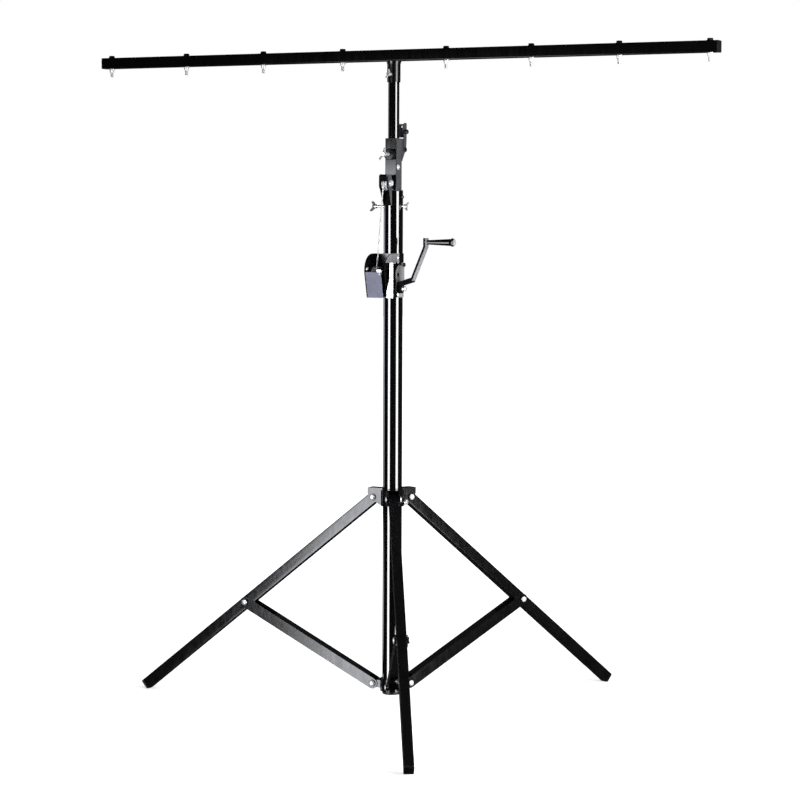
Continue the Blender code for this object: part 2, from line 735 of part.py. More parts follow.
def build_lamp_bolts():
    """Each bolt hangs through the bar with its wing nut run up underneath."""
    top = BAR_CENTRE_Z + BAR_SIDE / 2 + SEAT_GAP
    foot = BAR_CENTRE_Z - BAR_SIDE / 2 - SEAT_GAP
    nut_length = 0.011
    profile = [
        (0, top + 0.0075),
        (0.0083, top + 0.0070),
        (0.0085, top + 0.0018),
        (0.0105, top + 0.0018),
        (0.0105, top),
        (LAMP_BOLT_RADIUS, top),
        (LAMP_BOLT_RADIUS, foot),
        (0.0098, foot),
        (0.0098, foot - 0.0018),
        (0.0078, foot - 0.0018),
        (0.0068, foot - nut_length),
        (LAMP_BOLT_RADIUS, foot - nut_length),
        (LAMP_BOLT_RADIUS, foot - LAMP_BOLT_TAIL + 0.001),
        (LAMP_BOLT_RADIUS - 0.001, foot - LAMP_BOLT_TAIL),
        (0, foot - LAMP_BOLT_TAIL),
    ]
    for number, x in enumerate(lamp_bolt_places(), 1):
        bolt = turned(f"lamp_bolt_{number}", profile, ZINC, Matrix.Translation((x, 0, 0)), BOLT_ROUND)
        across = Vector((math.cos(math.radians(35)), math.sin(math.radians(35)), 0))
        place = (x, 0, foot - 0.0035)
        fuse(bolt, wing_blades(f"lamp_wings_{number}", 0.0155, 0.0078, 0.017, 0.0025, -Z_AXIS, place, across))


def azimuth_frame(name, azimuth, direction, upper, place):
    """A pivot whose Z runs along a leg or brace and whose Y is the side that faces up."""
    turn = math.radians(azimuth)
    outward = Vector((math.cos(turn), math.sin(turn), 0))
    z_axis = outward * direction[0] + Z_AXIS * direction[1]
    y_axis = outward * upper[0] + Z_AXIS * upper[1]
    location = outward * place[0] + Z_AXIS * place[1]
    return pivot(name, frame_matrix(y_axis.cross(z_axis), y_axis, location))


def leg_direction():
    """Sine and cosine of the leg's angle from the vertical, and the length from pivot to knee."""
    span = math.hypot(KNEE_REACH - PIVOT_REACH, TOP_PIVOT_Z - KNEE_Z)
    return (KNEE_REACH - PIVOT_REACH) / span, (TOP_PIVOT_Z - KNEE_Z) / span, span


def brace_direction():
    span = math.hypot(KNEE_REACH - PIVOT_REACH, KNEE_Z - BOTTOM_PIVOT_Z)
    return (KNEE_REACH - PIVOT_REACH) / span, (KNEE_Z - BOTTOM_PIVOT_Z) / span, span


def leg_length():
    """From the pivot to the foot cap's end, with the cap's lower corner cut flat on the floor."""
    sine, cosine, _ = leg_direction()
    end_height = LEG_DEPTH / 2 * sine - FOOT_FACET
    return (TOP_PIVOT_Z - end_height) / cosine


def build_leg(name, azimuth):
    sine, cosine, knee = leg_direction()
    joint = azimuth_frame(f"leg_joint_{name}", azimuth, (sine, -cosine), (cosine, sine), (PIVOT_REACH, TOP_PIVOT_Z))
    end = leg_length() - FOOT_CAP_END - SEAT_GAP
    outline = rounded_box(LEG_WIDTH, LEG_DEPTH, 0.003)
    bore = rounded_box(LEG_WIDTH - 2 * LEG_WALL, LEG_DEPTH - 2 * LEG_WALL, 0.001)
    place = Matrix.Translation((0, 0, (end - LEG_HEAD) / 2))
    leg = plate(f"leg_{name}", [outline, bore], end + LEG_HEAD, SATIN_BLACK, place, joint)
    reach = LEG_WIDTH
    drill(leg, PIVOT_BOLT_RADIUS + BOLT_GAP, (-reach, 0, 0), (reach, 0, 0), joint)
    drill(leg, PIVOT_BOLT_RADIUS + BOLT_GAP, (-reach, 0, knee), (reach, 0, knee), joint)
    build_foot_cap(name, joint)


def build_foot_cap(name, joint):
    """A plug in the tube's end, whose end plate is flush with the tube and cut flat on the floor."""
    start = leg_length() - FOOT_CAP_END
    plate_place = Matrix.Translation((0, 0, start + FOOT_CAP_END / 2))
    outline = rounded_box(LEG_WIDTH, LEG_DEPTH, 0.003)
    cap = plate(f"foot_cap_{name}", [outline], FOOT_CAP_END, BLACK_PLASTIC, plate_place, joint)
    gap = 2 * (LEG_WALL + SEAT_GAP)
    length = FOOT_PLUG_LENGTH + SINK
    plug_place = Matrix.Translation((0, 0, start + SINK - length / 2))
    plug = rounded_box(LEG_WIDTH - gap, LEG_DEPTH - gap, 0.001)
    fuse(cap, plate(f"foot_plug_{name}", [plug], length, BLACK_PLASTIC, plug_place, joint))
    floor = KNEE_REACH * 3
    cut(cap, block(f"floor_{name}", (-floor, -floor, -floor), (floor, floor, 0), BLACK_PLASTIC))


def build_brace(name, azimuth):
    """A folded channel, open underneath, whose two sides run past the leg to the knee bolt."""
    sine, cosine, knee = brace_direction()
    place = (PIVOT_REACH, BOTTOM_PIVOT_Z)
    joint = azimuth_frame(f"brace_joint_{name}", azimuth, (sine, cosine), (-cosine, sine), place)
    inner = LEG_WIDTH / 2 + BRACE_SIDE_GAP
    outer = inner + BRACE_WALL
    half = BRACE_DEPTH / 2
    side_outline = arc((0, knee), half, 0, 180, 9) + arc((0, 0), half, 180, 360, 9)
    hole = circle((0, 0), PIVOT_BOLT_RADIUS + BOLT_GAP)
    sides = []
    for number, side in enumerate((-1, 1)):
        centre = side * (inner + outer) / 2
        matrix = frame_matrix(Y_AXIS, Z_AXIS, (centre, 0, 0))
        label = f"brace_{name}" if number == 0 else f"brace_side_{name}"
        sides.append(plate(label, [side_outline, hole], BRACE_WALL, SATIN_BLACK, matrix, joint))
    web = [
        (-outer, BRACE_WEB_FOOT_CUT),
        (outer, BRACE_WEB_FOOT_CUT),
        (outer, knee - BRACE_WEB_KNEE_CUT),
        (-outer, knee - BRACE_WEB_KNEE_CUT),
    ]
    web_matrix = frame_matrix(X_AXIS, Z_AXIS, (0, half - BRACE_WALL / 2, 0))
    brace = fuse(sides[0], plate(f"brace_web_{name}", [web], BRACE_WALL, SATIN_BLACK, web_matrix, joint), sides[1])
    for side in (-1, 1):
        fuse(brace, knee_stub(f"knee_{name}_{side}", side, inner, outer, knee, joint))


def knee_stub(name, side, inner, outer, knee, joint):
    """One end of the knee bolt, seated through the channel's side."""
    length = outer - inner + PIVOT_HEAD_DEPTH
    profile = [
        (0, length),
        (PIVOT_HEAD_RADIUS * 0.45, length),
        (PIVOT_HEAD_RADIUS * 0.85, length - PIVOT_HEAD_DEPTH * 0.35),
        (PIVOT_HEAD_RADIUS, length - PIVOT_HEAD_DEPTH * 0.8),
        (PIVOT_HEAD_RADIUS, outer - inner - 0.0005),
        (PIVOT_BOLT_RADIUS, outer - inner - 0.0005),
        (PIVOT_BOLT_RADIUS, 0.0002),
        (0, 0.0002),
    ]
    return turned(name, profile, ZINC, along(side * X_AXIS, (side * inner, 0, knee)), BOLT_ROUND, joint)


def pivot_bolt(name, azimuth, reach, height, half_grip):
    """A bolt across a collar's lug, with a round head and a nut outside what it carries."""
    turn = math.radians(azimuth)
    outward = Vector((math.cos(turn), math.sin(turn), 0))
    tangent = Vector((-math.sin(turn), math.cos(turn), 0))
    end = half_grip + SEAT_GAP
    profile = [
        (0, end + PIVOT_HEAD_DEPTH),
        (PIVOT_HEAD_RADIUS * 0.5, end + PIVOT_HEAD_DEPTH),
        (PIVOT_HEAD_RADIUS * 0.9, end + PIVOT_HEAD_DEPTH * 0.6),
        (PIVOT_HEAD_RADIUS, end),
        (PIVOT_BOLT_RADIUS, end),
        (PIVOT_BOLT_RADIUS, -end),
        (PIVOT_HEAD_RADIUS, -end),
        (PIVOT_HEAD_RADIUS, -end - PIVOT_HEAD_DEPTH),
        (0, -end - PIVOT_HEAD_DEPTH),
    ]
    place = outward * reach + Z_AXIS * height
    return turned(name, profile, ZINC, along(tangent, place), BOLT_ROUND)


def upright_plate(name, outline, thickness, azimuth, offset):
    """A sheet standing in a radial plane; its outline is in reach and height."""
    turn = math.radians(azimuth)
    outward = Vector((math.cos(turn), math.sin(turn), 0))
    tangent = Vector((-math.sin(turn), math.cos(turn), 0))
    matrix = frame_matrix(outward, Z_AXIS, tangent * offset)
    return plate(name, [outline], thickness, SATIN_BLACK, matrix)


def collar_blank(name, inner, foot, top, outline, half_width, slot, slot_half):
    """A ring with three lugs, each a block cut through by a slot, before the mast's way is bored."""
    outer = inner + COLLAR_WALL
    collar = rod(name, outer, (0, 0, foot), (0, 0, top), SATIN_BLACK, ROUND)
    for leg, azimuth in LEG_AZIMUTHS.items():
        fuse(collar, upright_plate(f"{name}_lug_{leg}", outline, 2 * half_width, azimuth, 0))
    for leg, azimuth in LEG_AZIMUTHS.items():
        cut(collar, upright_plate(f"{name}_slot_{leg}", slot, 2 * slot_half, azimuth, 0))
    way = rod(f"{name}_way", inner, (0, 0, foot - 0.05), (0, 0, top + 0.05), SATIN_BLACK, ROUND)
    return cut(collar, way)


def build_top_collar():
    """The sliding collar: a ring and three folded ears, each astride a leg's head."""
    inner = MAST_RADIUS + RUN_GAP
    outer = inner + COLLAR_WALL
    cheek_in = LEG_WIDTH / 2 + EAR_SIDE_GAP
    cheek_out = cheek_in + EAR_SHEET
    root = inner - 0.004
    ear = [(root, TOP_COLLAR_FOOT_Z + 0.003), (outer, TOP_COLLAR_FOOT_Z + 0.003)]
    ear += arc((PIVOT_REACH, TOP_PIVOT_Z), EAR_RADIUS, 250, 345, 7)
    ear += [(EAR_REACH, EAR_LIP_Z), (EAR_REACH, EAR_TOP_Z), (root, EAR_TOP_Z)]
    lid = EAR_TOP_Z - EAR_SHEET
    low = TOP_COLLAR_FOOT_Z - 0.01
    slot = [(outer + 0.0002, low), (2 * EAR_REACH, low), (2 * EAR_REACH, lid), (outer + 0.0002, lid)]
    collar = collar_blank("top_collar", inner, TOP_COLLAR_FOOT_Z, TOP_COLLAR_TOP_Z, ear, cheek_out, slot, cheek_in)
    for name, azimuth in LEG_AZIMUTHS.items():
        bolt = pivot_bolt(f"leg_bolt_{name}", azimuth, PIVOT_REACH, TOP_PIVOT_Z, cheek_out - 2 * SEAT_GAP)
        fuse(collar, bolt)
    drill(collar, COLLAR_SCREW_RADIUS + BOLT_GAP, (MAST_RADIUS - 0.004, 0, COLLAR_SCREW_Z), (0.060, 0, COLLAR_SCREW_Z))


def build_collar_screw():
    length = COLLAR_SCREW_REACH - MAST_RADIUS - SEAT_GAP
    profile = [
        (0, length),
        (0.007, length),
        (0.008, length - 0.0012),
        (0.008, length - 0.0075),
        (0.0065, length - 0.009),
        (COLLAR_SCREW_RADIUS, length - 0.009),
        (COLLAR_SCREW_RADIUS, 0),
        (0, 0),
    ]
    place = (MAST_RADIUS + SEAT_GAP, 0, COLLAR_SCREW_Z)
    turned("collar_lock_screw", profile, CHROME, along(X_AXIS, place), SMALL_ROUND)


def build_bottom_collar():
    """The fixed collar at the mast's foot: a ring and three lugs inside the braces."""
    inner = MAST_RADIUS + SEAT_GAP
    outer = inner + COLLAR_WALL
    side = LEG_WIDTH / 2 + BRACE_SIDE_GAP
    lug_out = side - LUG_SIDE_GAP
    root = inner - 0.004
    low = BOTTOM_PIVOT_Z - LUG_RADIUS
    high = BOTTOM_PIVOT_Z + LUG_RADIUS
    lug = [(root, low)] + arc((PIVOT_REACH, BOTTOM_PIVOT_Z), LUG_RADIUS, 270, 450, 9) + [(root, high)]
    near = outer + 0.0002
    slot = [(near, low - 0.01), (2 * EAR_REACH, low - 0.01), (2 * EAR_REACH, high + 0.01), (near, high + 0.01)]
    collar = collar_blank("bottom_collar", inner, BOTTOM_COLLAR_FOOT_Z, BOTTOM_COLLAR_TOP_Z, lug, lug_out, slot,
                          lug_out - LUG_SHEET)
    for name, azimuth in LEG_AZIMUTHS.items():
        fuse(collar, pivot_bolt(f"brace_bolt_{name}", azimuth, PIVOT_REACH, BOTTOM_PIVOT_Z, side + BRACE_WALL))


def pulley_y():
    """The pulley's rear side stands over the gap between the mast and the middle tube."""
    return CABLE_INNER_Y - PULLEY_GROOVE_RADIUS - SEAT_GAP - CABLE_RADIUS


def build_pulley():
    half = PULLEY_WIDTH / 2
    bore = AXLE_BOLT_RADIUS + BOLT_GAP
    groove = CABLE_RADIUS + SEAT_GAP
    profile = [
        (PULLEY_RIM_RADIUS - 0.0005, half),
        (PULLEY_RIM_RADIUS, half - 0.0015),
        (PULLEY_GROOVE_RADIUS, groove * 0.7),
        (PULLEY_GROOVE_RADIUS, -groove * 0.7),
        (PULLEY_RIM_RADIUS, -half + 0.0015),
        (PULLEY_RIM_RADIUS - 0.0005, -half),
        (bore, -half),
        (bore, half),
    ]
    place = (PULLEY_X, pulley_y(), PULLEY_Z)
    turned("pulley_wheel", profile, ZINC, along(X_AXIS, place), 28, closed=True)
    out = half + FORK_SIDE_GAP + FORK_SHEET + SEAT_GAP
    bolt = [
        (0, out + 0.008),
        (0.0075, out + 0.008),
        (0.0092, out + 0.0065),
        (0.0092, out + 0.0018),
        (0.0105, out + 0.0018),
        (0.0105, out),
        (AXLE_BOLT_RADIUS, out),
        (AXLE_BOLT_RADIUS, -out),
        (0.008, -out),
        (0.0075, -out - 0.007),
        (0, -out - 0.007),
    ]
    turned("pulley_axle_bolt", bolt, ZINC, along(X_AXIS, place), SMALL_ROUND)
    build_fork()


def build_fork():
    """Two cheeks that taper down on to the mast, a web against it and a guard over the pulley."""
    half = PULLEY_WIDTH / 2 + FORK_SIDE_GAP
    back = -MAST_RADIUS - SEAT_GAP
    guard_low = FORK_TOP_Z - FORK_SHEET
    nose = 0.006
    tail = MAST_TOP_Z - FORK_TAIL_DROP
    front = {-1: FORK_FRONT_Y, 1: FORK_RIGHT_FRONT_Y}
    outline = {side: [
        (back, tail),
        (back, FORK_TOP_Z - 0.010),
        (back - 0.004, FORK_TOP_Z),
        (front[side] + nose, FORK_TOP_Z),
        (front[side], FORK_TOP_Z - nose),
        (front[side], PULLEY_Z - 0.010),
        (front[side] + 0.008, PULLEY_Z - 0.022),
        (back - 0.006, tail),
    ] for side in (-1, 1)}
    hole = circle((pulley_y(), PULLEY_Z), AXLE_BOLT_RADIUS + BOLT_GAP)
    out = half + FORK_SHEET
    web_low = (PULLEY_X - out + SINK, back - FORK_SHEET, tail + SINK)
    web_high = (PULLEY_X + out - SINK, back - SINK, MAST_TOP_Z - 0.005)
    fork = block("pulley_fork", web_low, web_high, SATIN_BLACK)
    for side in (-1, 1):
        centre = PULLEY_X + side * (half + FORK_SHEET / 2)
        fuse(fork, plate(f"cheek_{side}", [outline[side], hole], FORK_SHEET, SATIN_BLACK,
                         lying_in("YZ", (centre, 0, 0))))
    guard_start = (PULLEY_X - out + SINK, FORK_FRONT_Y + nose, guard_low)
    guard_end = (PULLEY_X + out - SINK, pulley_y() - 0.002, FORK_TOP_Z - SINK)
    fuse(fork, block("pulley_guard", guard_start, guard_end, SATIN_BLACK))


def build_lock_screws():
    tip = MIDDLE_RADIUS + SEAT_GAP
    up = Vector((0, math.sin(math.radians(25)), math.cos(math.radians(25))))
    wing_screw("mast_lock_screw_right", (tip, 0, lock_screw_z()), X_AXIS, LOCK_REACH_RIGHT - tip, LOCK_SCREW_RADIUS,
               0.0062, 0.010, 0.014, 0.013, up, 0.001)
    wing_screw("mast_lock_screw_left", (-tip, 0, lock_screw_z()), -X_AXIS, LOCK_REACH_LEFT - tip, LOCK_SCREW_RADIUS,
               0.0065, 0.013, 0.017, 0.018, up, 0.002)


def frame_outline():
    """The winch frame's side seen along X: square at the mast, with a round brow and a raked front."""
    brow = []
    wide = FRAME_BROW_Y - FRAME_FRONT_Y
    tall = FRAME_TOP_Z - FRAME_BROW_Z
    for i in range(9):
        turn = math.radians(90 * i / 8)
        brow.append((FRAME_BROW_Y - wide * math.sin(turn), FRAME_BROW_Z + tall * math.cos(turn)))
    back = -MAST_RADIUS - SEAT_GAP
    return [(back, FRAME_FOOT_Z), (back, FRAME_TOP_Z)] + brow + [(FRAME_FRONT_Y, COVER_TOP_Z),
                                                                  (FRAME_FOOT_FRONT_Y, FRAME_FOOT_Z)]


def shaft_z():
    return DRUM_Z - GEAR_MODULE * (GEAR_TEETH + PINION_TEETH) / 2


def build_frame():
    back = -MAST_RADIUS - SEAT_GAP
    low = (FRAME_LEFT_X + SINK, back - FRAME_SHEET, FRAME_FOOT_Z + SINK)
    high = (FRAME_RIGHT_X - SINK, back - SINK, FRAME_TOP_Z - SINK)
    frame = block("winch_frame", low, high, SATIN_BLACK)
    axle = circle((WINCH_Y, DRUM_Z), DRUM_AXLE_RADIUS + BOLT_GAP)
    shaft = circle((WINCH_Y, shaft_z()), SHAFT_RADIUS + BOLT_GAP)
    left = lying_in("YZ", (FRAME_LEFT_X + FRAME_SHEET / 2, 0, 0))
    fuse(frame, plate("frame_left", [frame_outline(), axle, shaft], FRAME_SHEET, SATIN_BLACK, left))
    hub_way = circle((WINCH_Y, DRUM_Z), DRUM_HUB_RADIUS + 2 * BOLT_GAP, 24)
    right = lying_in("YZ", (FRAME_RIGHT_X - FRAME_SHEET / 2, 0, 0))
    fuse(frame, plate("frame_right", [frame_outline(), hub_way, shaft], FRAME_SHEET, SATIN_BLACK, right))


def build_drum_cover():
    """A folded sheet across the front and underside of the drum."""
    gap = SEAT_GAP
    slant = math.atan2(FRAME_FOOT_FRONT_Y - FRAME_FRONT_Y, COVER_TOP_Z - FRAME_FOOT_Z)
    across = COVER_SHEET / math.cos(slant)
    foot = FRAME_FOOT_Z
    outline = [
        (FRAME_FRONT_Y, COVER_TOP_Z),
        (FRAME_FOOT_FRONT_Y, foot),
        (COVER_BACK_Y, foot),
        (COVER_BACK_Y, foot + COVER_SHEET),
        (FRAME_FOOT_FRONT_Y + across - COVER_SHEET * math.tan(slant), foot + COVER_SHEET),
        (FRAME_FRONT_Y + across, COVER_TOP_Z),
    ]
    left = FRAME_LEFT_X + FRAME_SHEET + gap
    centre = (left + COVER_RIGHT_X) / 2
    plate("drum_cover", [outline], COVER_RIGHT_X - left, GREY_PAINT, lying_in("YZ", (centre, 0, 0)))


def build_straps():
    """Two bands that hold the winch frame to the mast."""
    inner = MAST_RADIUS + SEAT_GAP
    for name, low, high in (("upper", STRAP_UPPER_Z, FRAME_TOP_Z), ("lower", FRAME_FOOT_Z, STRAP_LOWER_Z)):
        strap = tube(f"winch_strap_{name}", inner + STRAP_SHEET, STRAP_SHEET, low, high, SATIN_BLACK)
        front = (-0.05, -0.05, low - 0.01)
        cut(strap, block(f"strap_mouth_{name}", front, (0.05, -MAST_RADIUS + SEAT_GAP, high + 0.01), ZINC))


def gear_outline(teeth, pointer):
    """An involute gear about the origin, with one tooth's middle at the pointer angle."""
    pitch_radius = GEAR_MODULE * teeth / 2
    base = pitch_radius * math.cos(math.radians(20))
    tip = pitch_radius + GEAR_MODULE
    root = pitch_radius - 1.25 * GEAR_MODULE
    half_tooth = math.pi / (2 * teeth) - GEAR_BACKLASH / (2 * pitch_radius)

    def half_angle(radius):
        if radius <= base:
            flat = half_tooth + involute(pitch_radius, base)
            return flat
        return half_tooth + involute(pitch_radius, base) - involute(radius, base)

    radii = [root, pitch_radius, tip]
    outline = []
    for tooth in range(teeth):
        middle = pointer + 2 * math.pi * tooth / teeth
        rising = [(radius, middle - half_angle(radius)) for radius in radii]
        falling = [(radius, middle + half_angle(radius)) for radius in reversed(radii)]
        for radius, angle in rising + falling:
            outline.append((radius * math.cos(angle), radius * math.sin(angle)))
    clean = [outline[0]]
    for point in outline[1:]:
        if math.dist(point, clean[-1]) > 0.00002:
            clean.append(point)
    return clean


def involute(radius, base):
    """The involute angle at a radius, in radians."""
    pressure = math.acos(base / radius)
    return math.tan(pressure) - pressure


def build_drum():
    left = FRAME_LEFT_X + FRAME_SHEET + SEAT_GAP
    hub_end = GEAR_PLATE_X - RUN_GAP
    bore = DRUM_AXLE_RADIUS + BOLT_GAP
    shoulder = GEAR_X - SEAT_GAP
    gear_seat = DRUM_HUB_RADIUS - 0.0015
    profile = [
        (gear_seat, hub_end),
        (gear_seat, shoulder),
        (DRUM_HUB_RADIUS, shoulder),
        (DRUM_HUB_RADIUS, DRUM_RIGHT_X + DRUM_RIM),
        (DRUM_RIM_RADIUS - 0.0005, DRUM_RIGHT_X + DRUM_RIM),
        (DRUM_RIM_RADIUS, DRUM_RIGHT_X + DRUM_RIM - 0.0005),
        (DRUM_RIM_RADIUS, DRUM_RIGHT_X),
        (DRUM_CORE_RADIUS, DRUM_RIGHT_X),
        (DRUM_CORE_RADIUS, left + DRUM_RIM),
        (DRUM_RIM_RADIUS, left + DRUM_RIM),
        (DRUM_RIM_RADIUS, left + 0.0005),
        (DRUM_RIM_RADIUS - 0.0005, left),
        (bore, left),
        (bore, hub_end),
    ]
    place = along(X_AXIS, (0, WINCH_Y, DRUM_Z))
    turned("cable_drum", profile, ZINC, place, 28, closed=True)
    gap_to_pinion = -math.pi / 2 + math.pi / GEAR_TEETH
    outline = gear_outline(GEAR_TEETH, gap_to_pinion)
    centre = (GEAR_X + GEAR_WIDTH / 2, WINCH_Y, DRUM_Z)
    openings = [circle((0, 0), gear_seat + SEAT_GAP, 20)]
    openings += [circle((0.0185 * math.cos(turn), 0.0185 * math.sin(turn)), 0.0045, 10)
                 for turn in (math.radians(60 * i) for i in range(6))]
    plate("drum_gear", [outline, *openings], GEAR_WIDTH, ZINC, lying_in("YZ", centre))
    start = FRAME_LEFT_X - SEAT_GAP
    end = GEAR_PLATE_X + GEAR_PLATE_SHEET
    axle = [
        (0, end),
        (DRUM_AXLE_RADIUS - 0.0005, end),
        (DRUM_AXLE_RADIUS, end - 0.0005),
        (DRUM_AXLE_RADIUS, start),
        (0.009, start),
        (0.009, start - 0.006),
        (0, start - 0.006),
    ]
    turned("drum_axle", axle, ZINC, along(X_AXIS, (0, WINCH_Y, DRUM_Z)), SMALL_ROUND)


def build_shaft():
    """The crank's shaft with its pinion cut on it, under the drum."""
    z = shaft_z()
    start = FRAME_LEFT_X - 0.003
    end = CRANK_HUB_X + CRANK_HUB_LENGTH + 0.003
    shaft = rod("pinion_shaft", SHAFT_RADIUS, (start, WINCH_Y, z), (end, WINCH_Y, z), ZINC, 20)
    outline = gear_outline(PINION_TEETH, math.pi / 2)
    centre = (GEAR_X + GEAR_WIDTH / 2, WINCH_Y, z)
    fuse(shaft, plate("pinion", [outline], GEAR_WIDTH + 0.001, ZINC, lying_in("YZ", centre)))


def build_gear_plate():
    """A round-fronted plate outside the gears, with an ear for its spacer bolt."""
    z = shaft_z()
    centre = (GEAR_PLATE_Y, DRUM_Z)
    front = arc(centre, GEAR_PLATE_RADIUS, 100, 215, 17)
    lobe = arc((WINCH_Y, z), SHAFT_LOBE_RADIUS, 180, 360, 11)
    back_z = DRUM_Z - GEAR_PLATE_RADIUS
    outline = front + lobe + [(WINCH_Y + SHAFT_LOBE_RADIUS, back_z), (GEAR_PLATE_BACK_Y, back_z)]
    top = DRUM_Z + GEAR_PLATE_RADIUS
    outline += [(GEAR_PLATE_BACK_Y, top + GEAR_PLATE_EAR), (GEAR_PLATE_EAR_Y, top + GEAR_PLATE_EAR)]
    outline += [(GEAR_PLATE_EAR_Y, top - GEAR_PLATE_EAR / 2)]
    axle = circle((WINCH_Y, DRUM_Z), DRUM_AXLE_RADIUS + BOLT_GAP)
    shaft = circle((WINCH_Y, z), SHAFT_RADIUS + BOLT_GAP)
    place = lying_in("YZ", (GEAR_PLATE_X + GEAR_PLATE_SHEET / 2, 0, 0))
    plate("gear_plate", [outline, axle, shaft], GEAR_PLATE_SHEET, SATIN_BLACK, place)
    build_gear_guard()


def build_gear_guard():
    """A zinc sheet that stands in front of the gears, narrower above, and bends back over them."""
    left = FRAME_RIGHT_X + SEAT_GAP
    right = GEAR_PLATE_X + GEAR_PLATE_SHEET
    face = [
        (left, FRAME_FOOT_Z),
        (right, FRAME_FOOT_Z),
        (right, GUARD_TOP_Z),
        (left + GUARD_TAPER, GUARD_TOP_Z),
        (left + GUARD_TAPER, GUARD_TAPER_TOP_Z),
        (left, GUARD_TAPER_FOOT_Z),
    ]
    place = lying_in("XZ", (0, GUARD_FRONT_Y + GUARD_SHEET / 2, 0))
    guard = plate("gear_guard", [face], GUARD_SHEET, ZINC, place)
    low = (left + GUARD_TAPER + SINK, GUARD_FRONT_Y + SINK, GUARD_TOP_Z - GUARD_SHEET)
    high = (right - SINK, GUARD_BACK_Y, GUARD_TOP_Z - SINK)
    fuse(guard, block("guard_lip", low, high, ZINC))


def build_crank():
    """A hub on the shaft and a flat bar bent twice, its wide face square to its bends."""
    z = shaft_z()
    hub_end = CRANK_HUB_X + CRANK_HUB_LENGTH
    bore = SHAFT_RADIUS + SEAT_GAP
    hub = [
        (CRANK_HUB_RADIUS - 0.001, hub_end),
        (CRANK_HUB_RADIUS, hub_end - 0.001),
        (CRANK_HUB_RADIUS, CRANK_HUB_X),
        (bore, CRANK_HUB_X),
        (bore, hub_end),
    ]
    arm = turned("crank_arm", hub, SATIN_BLACK, along(X_AXIS, (0, WINCH_Y, z)), 24, closed=True)
    tip_x = GRIP_START_X - SEAT_GAP - CRANK_BAR_THICK / 2
    root = (CRANK_HUB_X + 0.004, z + CRANK_ROOT_RISE)
    path = [root, (CRANK_KNEE_X, CRANK_KNEE_Z), (tip_x, GRIP_Z - 0.014), (tip_x, GRIP_Z + 0.013)]
    bar = plate("crank_bar", [thick_line(path, CRANK_BAR_THICK)], CRANK_BAR_WIDTH, SATIN_BLACK,
                lying_in("XZ", (0, WINCH_Y, 0)))
    forged = plate("crank_root", [thick_line(path[:2], CRANK_ROOT_THICK)], CRANK_BAR_WIDTH + 2 * SINK, SATIN_BLACK,
                   lying_in("XZ", (0, WINCH_Y, 0)))
    fuse(arm, bar, forged)
    reach = CRANK_BAR_THICK
    drill(arm, GRIP_ROD_RADIUS + BOLT_GAP, (tip_x - reach, WINCH_Y, GRIP_Z), (tip_x + reach, WINCH_Y, GRIP_Z))
    nut_start = hub_end + SEAT_GAP
    shaft_end = hub_end + 0.003
    pocket = SHAFT_RADIUS + SEAT_GAP
    nut = [
        (0, nut_start + CRANK_NUT_LENGTH),
        (0.0060, nut_start + CRANK_NUT_LENGTH),
        (0.0080, nut_start + CRANK_NUT_LENGTH - 0.002),
        (0.0082, nut_start),
        (pocket, nut_start),
        (pocket, shaft_end + SEAT_GAP),
        (0, shaft_end + SEAT_GAP),
    ]
    turned("crank_nut", nut, CHROME, along(X_AXIS, (0, WINCH_Y, z)), SMALL_ROUND)


def thick_line(path, thickness):
    """The outline of a bent bar seen edge on, mitred at its bends."""
    left = []
    right = []
    for i, point in enumerate(path):
        here = Vector(point)
        before = (here - Vector(path[i - 1])).normalized() if i else None
        after = (Vector(path[i + 1]) - here).normalized() if i + 1 < len(path) else None
        first = before or after
        second = after or before
        mean = (first + second).normalized()
        normal = Vector((-mean.y, mean.x))
        stretch = thickness / 2 / max(0.5, normal.dot(Vector((-first.y, first.x))))
        left.append(tuple(here + normal * stretch))
        right.append(tuple(here - normal * stretch))
    return right + left[::-1]


def build_grip():
    start = GRIP_START_X
    end = start + GRIP_LENGTH
    bore = GRIP_ROD_RADIUS + BOLT_GAP
    profile = [
        (GRIP_END_RADIUS - 0.002, end),
        (GRIP_END_RADIUS, end - 0.002),
        (GRIP_END_RADIUS, end - 0.006),
        (GRIP_END_RADIUS - 0.002, end - 0.009),
        (GRIP_SWELL_RADIUS, end - 0.013),
        (GRIP_NECK_RADIUS, start + 0.012),
        (GRIP_NECK_RADIUS, start + GRIP_SPACER + RUN_GAP),
        (bore, start + GRIP_SPACER + RUN_GAP),
        (bore, end),
    ]
    turned("crank_grip", profile, BLACK_RUBBER, along(X_AXIS, (0, WINCH_Y, GRIP_Z)), 20, closed=True)
    back = start - SEAT_GAP - CRANK_BAR_THICK - SEAT_GAP
    rod_profile = [
        (0, end + 0.005),
        (0.0070, end + 0.005),
        (0.0100, end + 0.0035),
        (0.0112, end + 0.0005),
        (GRIP_ROD_RADIUS, end + 0.0005),
        (GRIP_ROD_RADIUS, start + GRIP_SPACER),
        (0.0066, start + GRIP_SPACER),
        (0.0066, start),
        (GRIP_ROD_RADIUS, start),
        (GRIP_ROD_RADIUS, back),
        (0.0065, back),
        (0.0050, back - 0.0015),
        (0, back - 0.0015),
    ]
    turned("grip_rod", rod_profile, CHROME, along(X_AXIS, (0, WINCH_Y, GRIP_Z)), SMALL_ROUND)


def winding_radius():
    return DRUM_CORE_RADIUS + CABLE_GAP + CABLE_RADIUS


def first_turn_x():
    return FRAME_LEFT_X + FRAME_SHEET + SEAT_GAP + DRUM_RIM + CABLE_GAP + CABLE_RADIUS


def last_turn_x():
    return first_turn_x() + WINDING_PITCH * WINDING_TURNS + 2 * CABLE_RADIUS + CABLE_GAP


def on_drum(x, angle):
    """A place on the cable's turns; the angle is from the drum's front, down and round underneath."""
    radius = winding_radius()
    return Vector((x, WINCH_Y - radius * math.cos(angle), DRUM_Z - radius * math.sin(angle)))


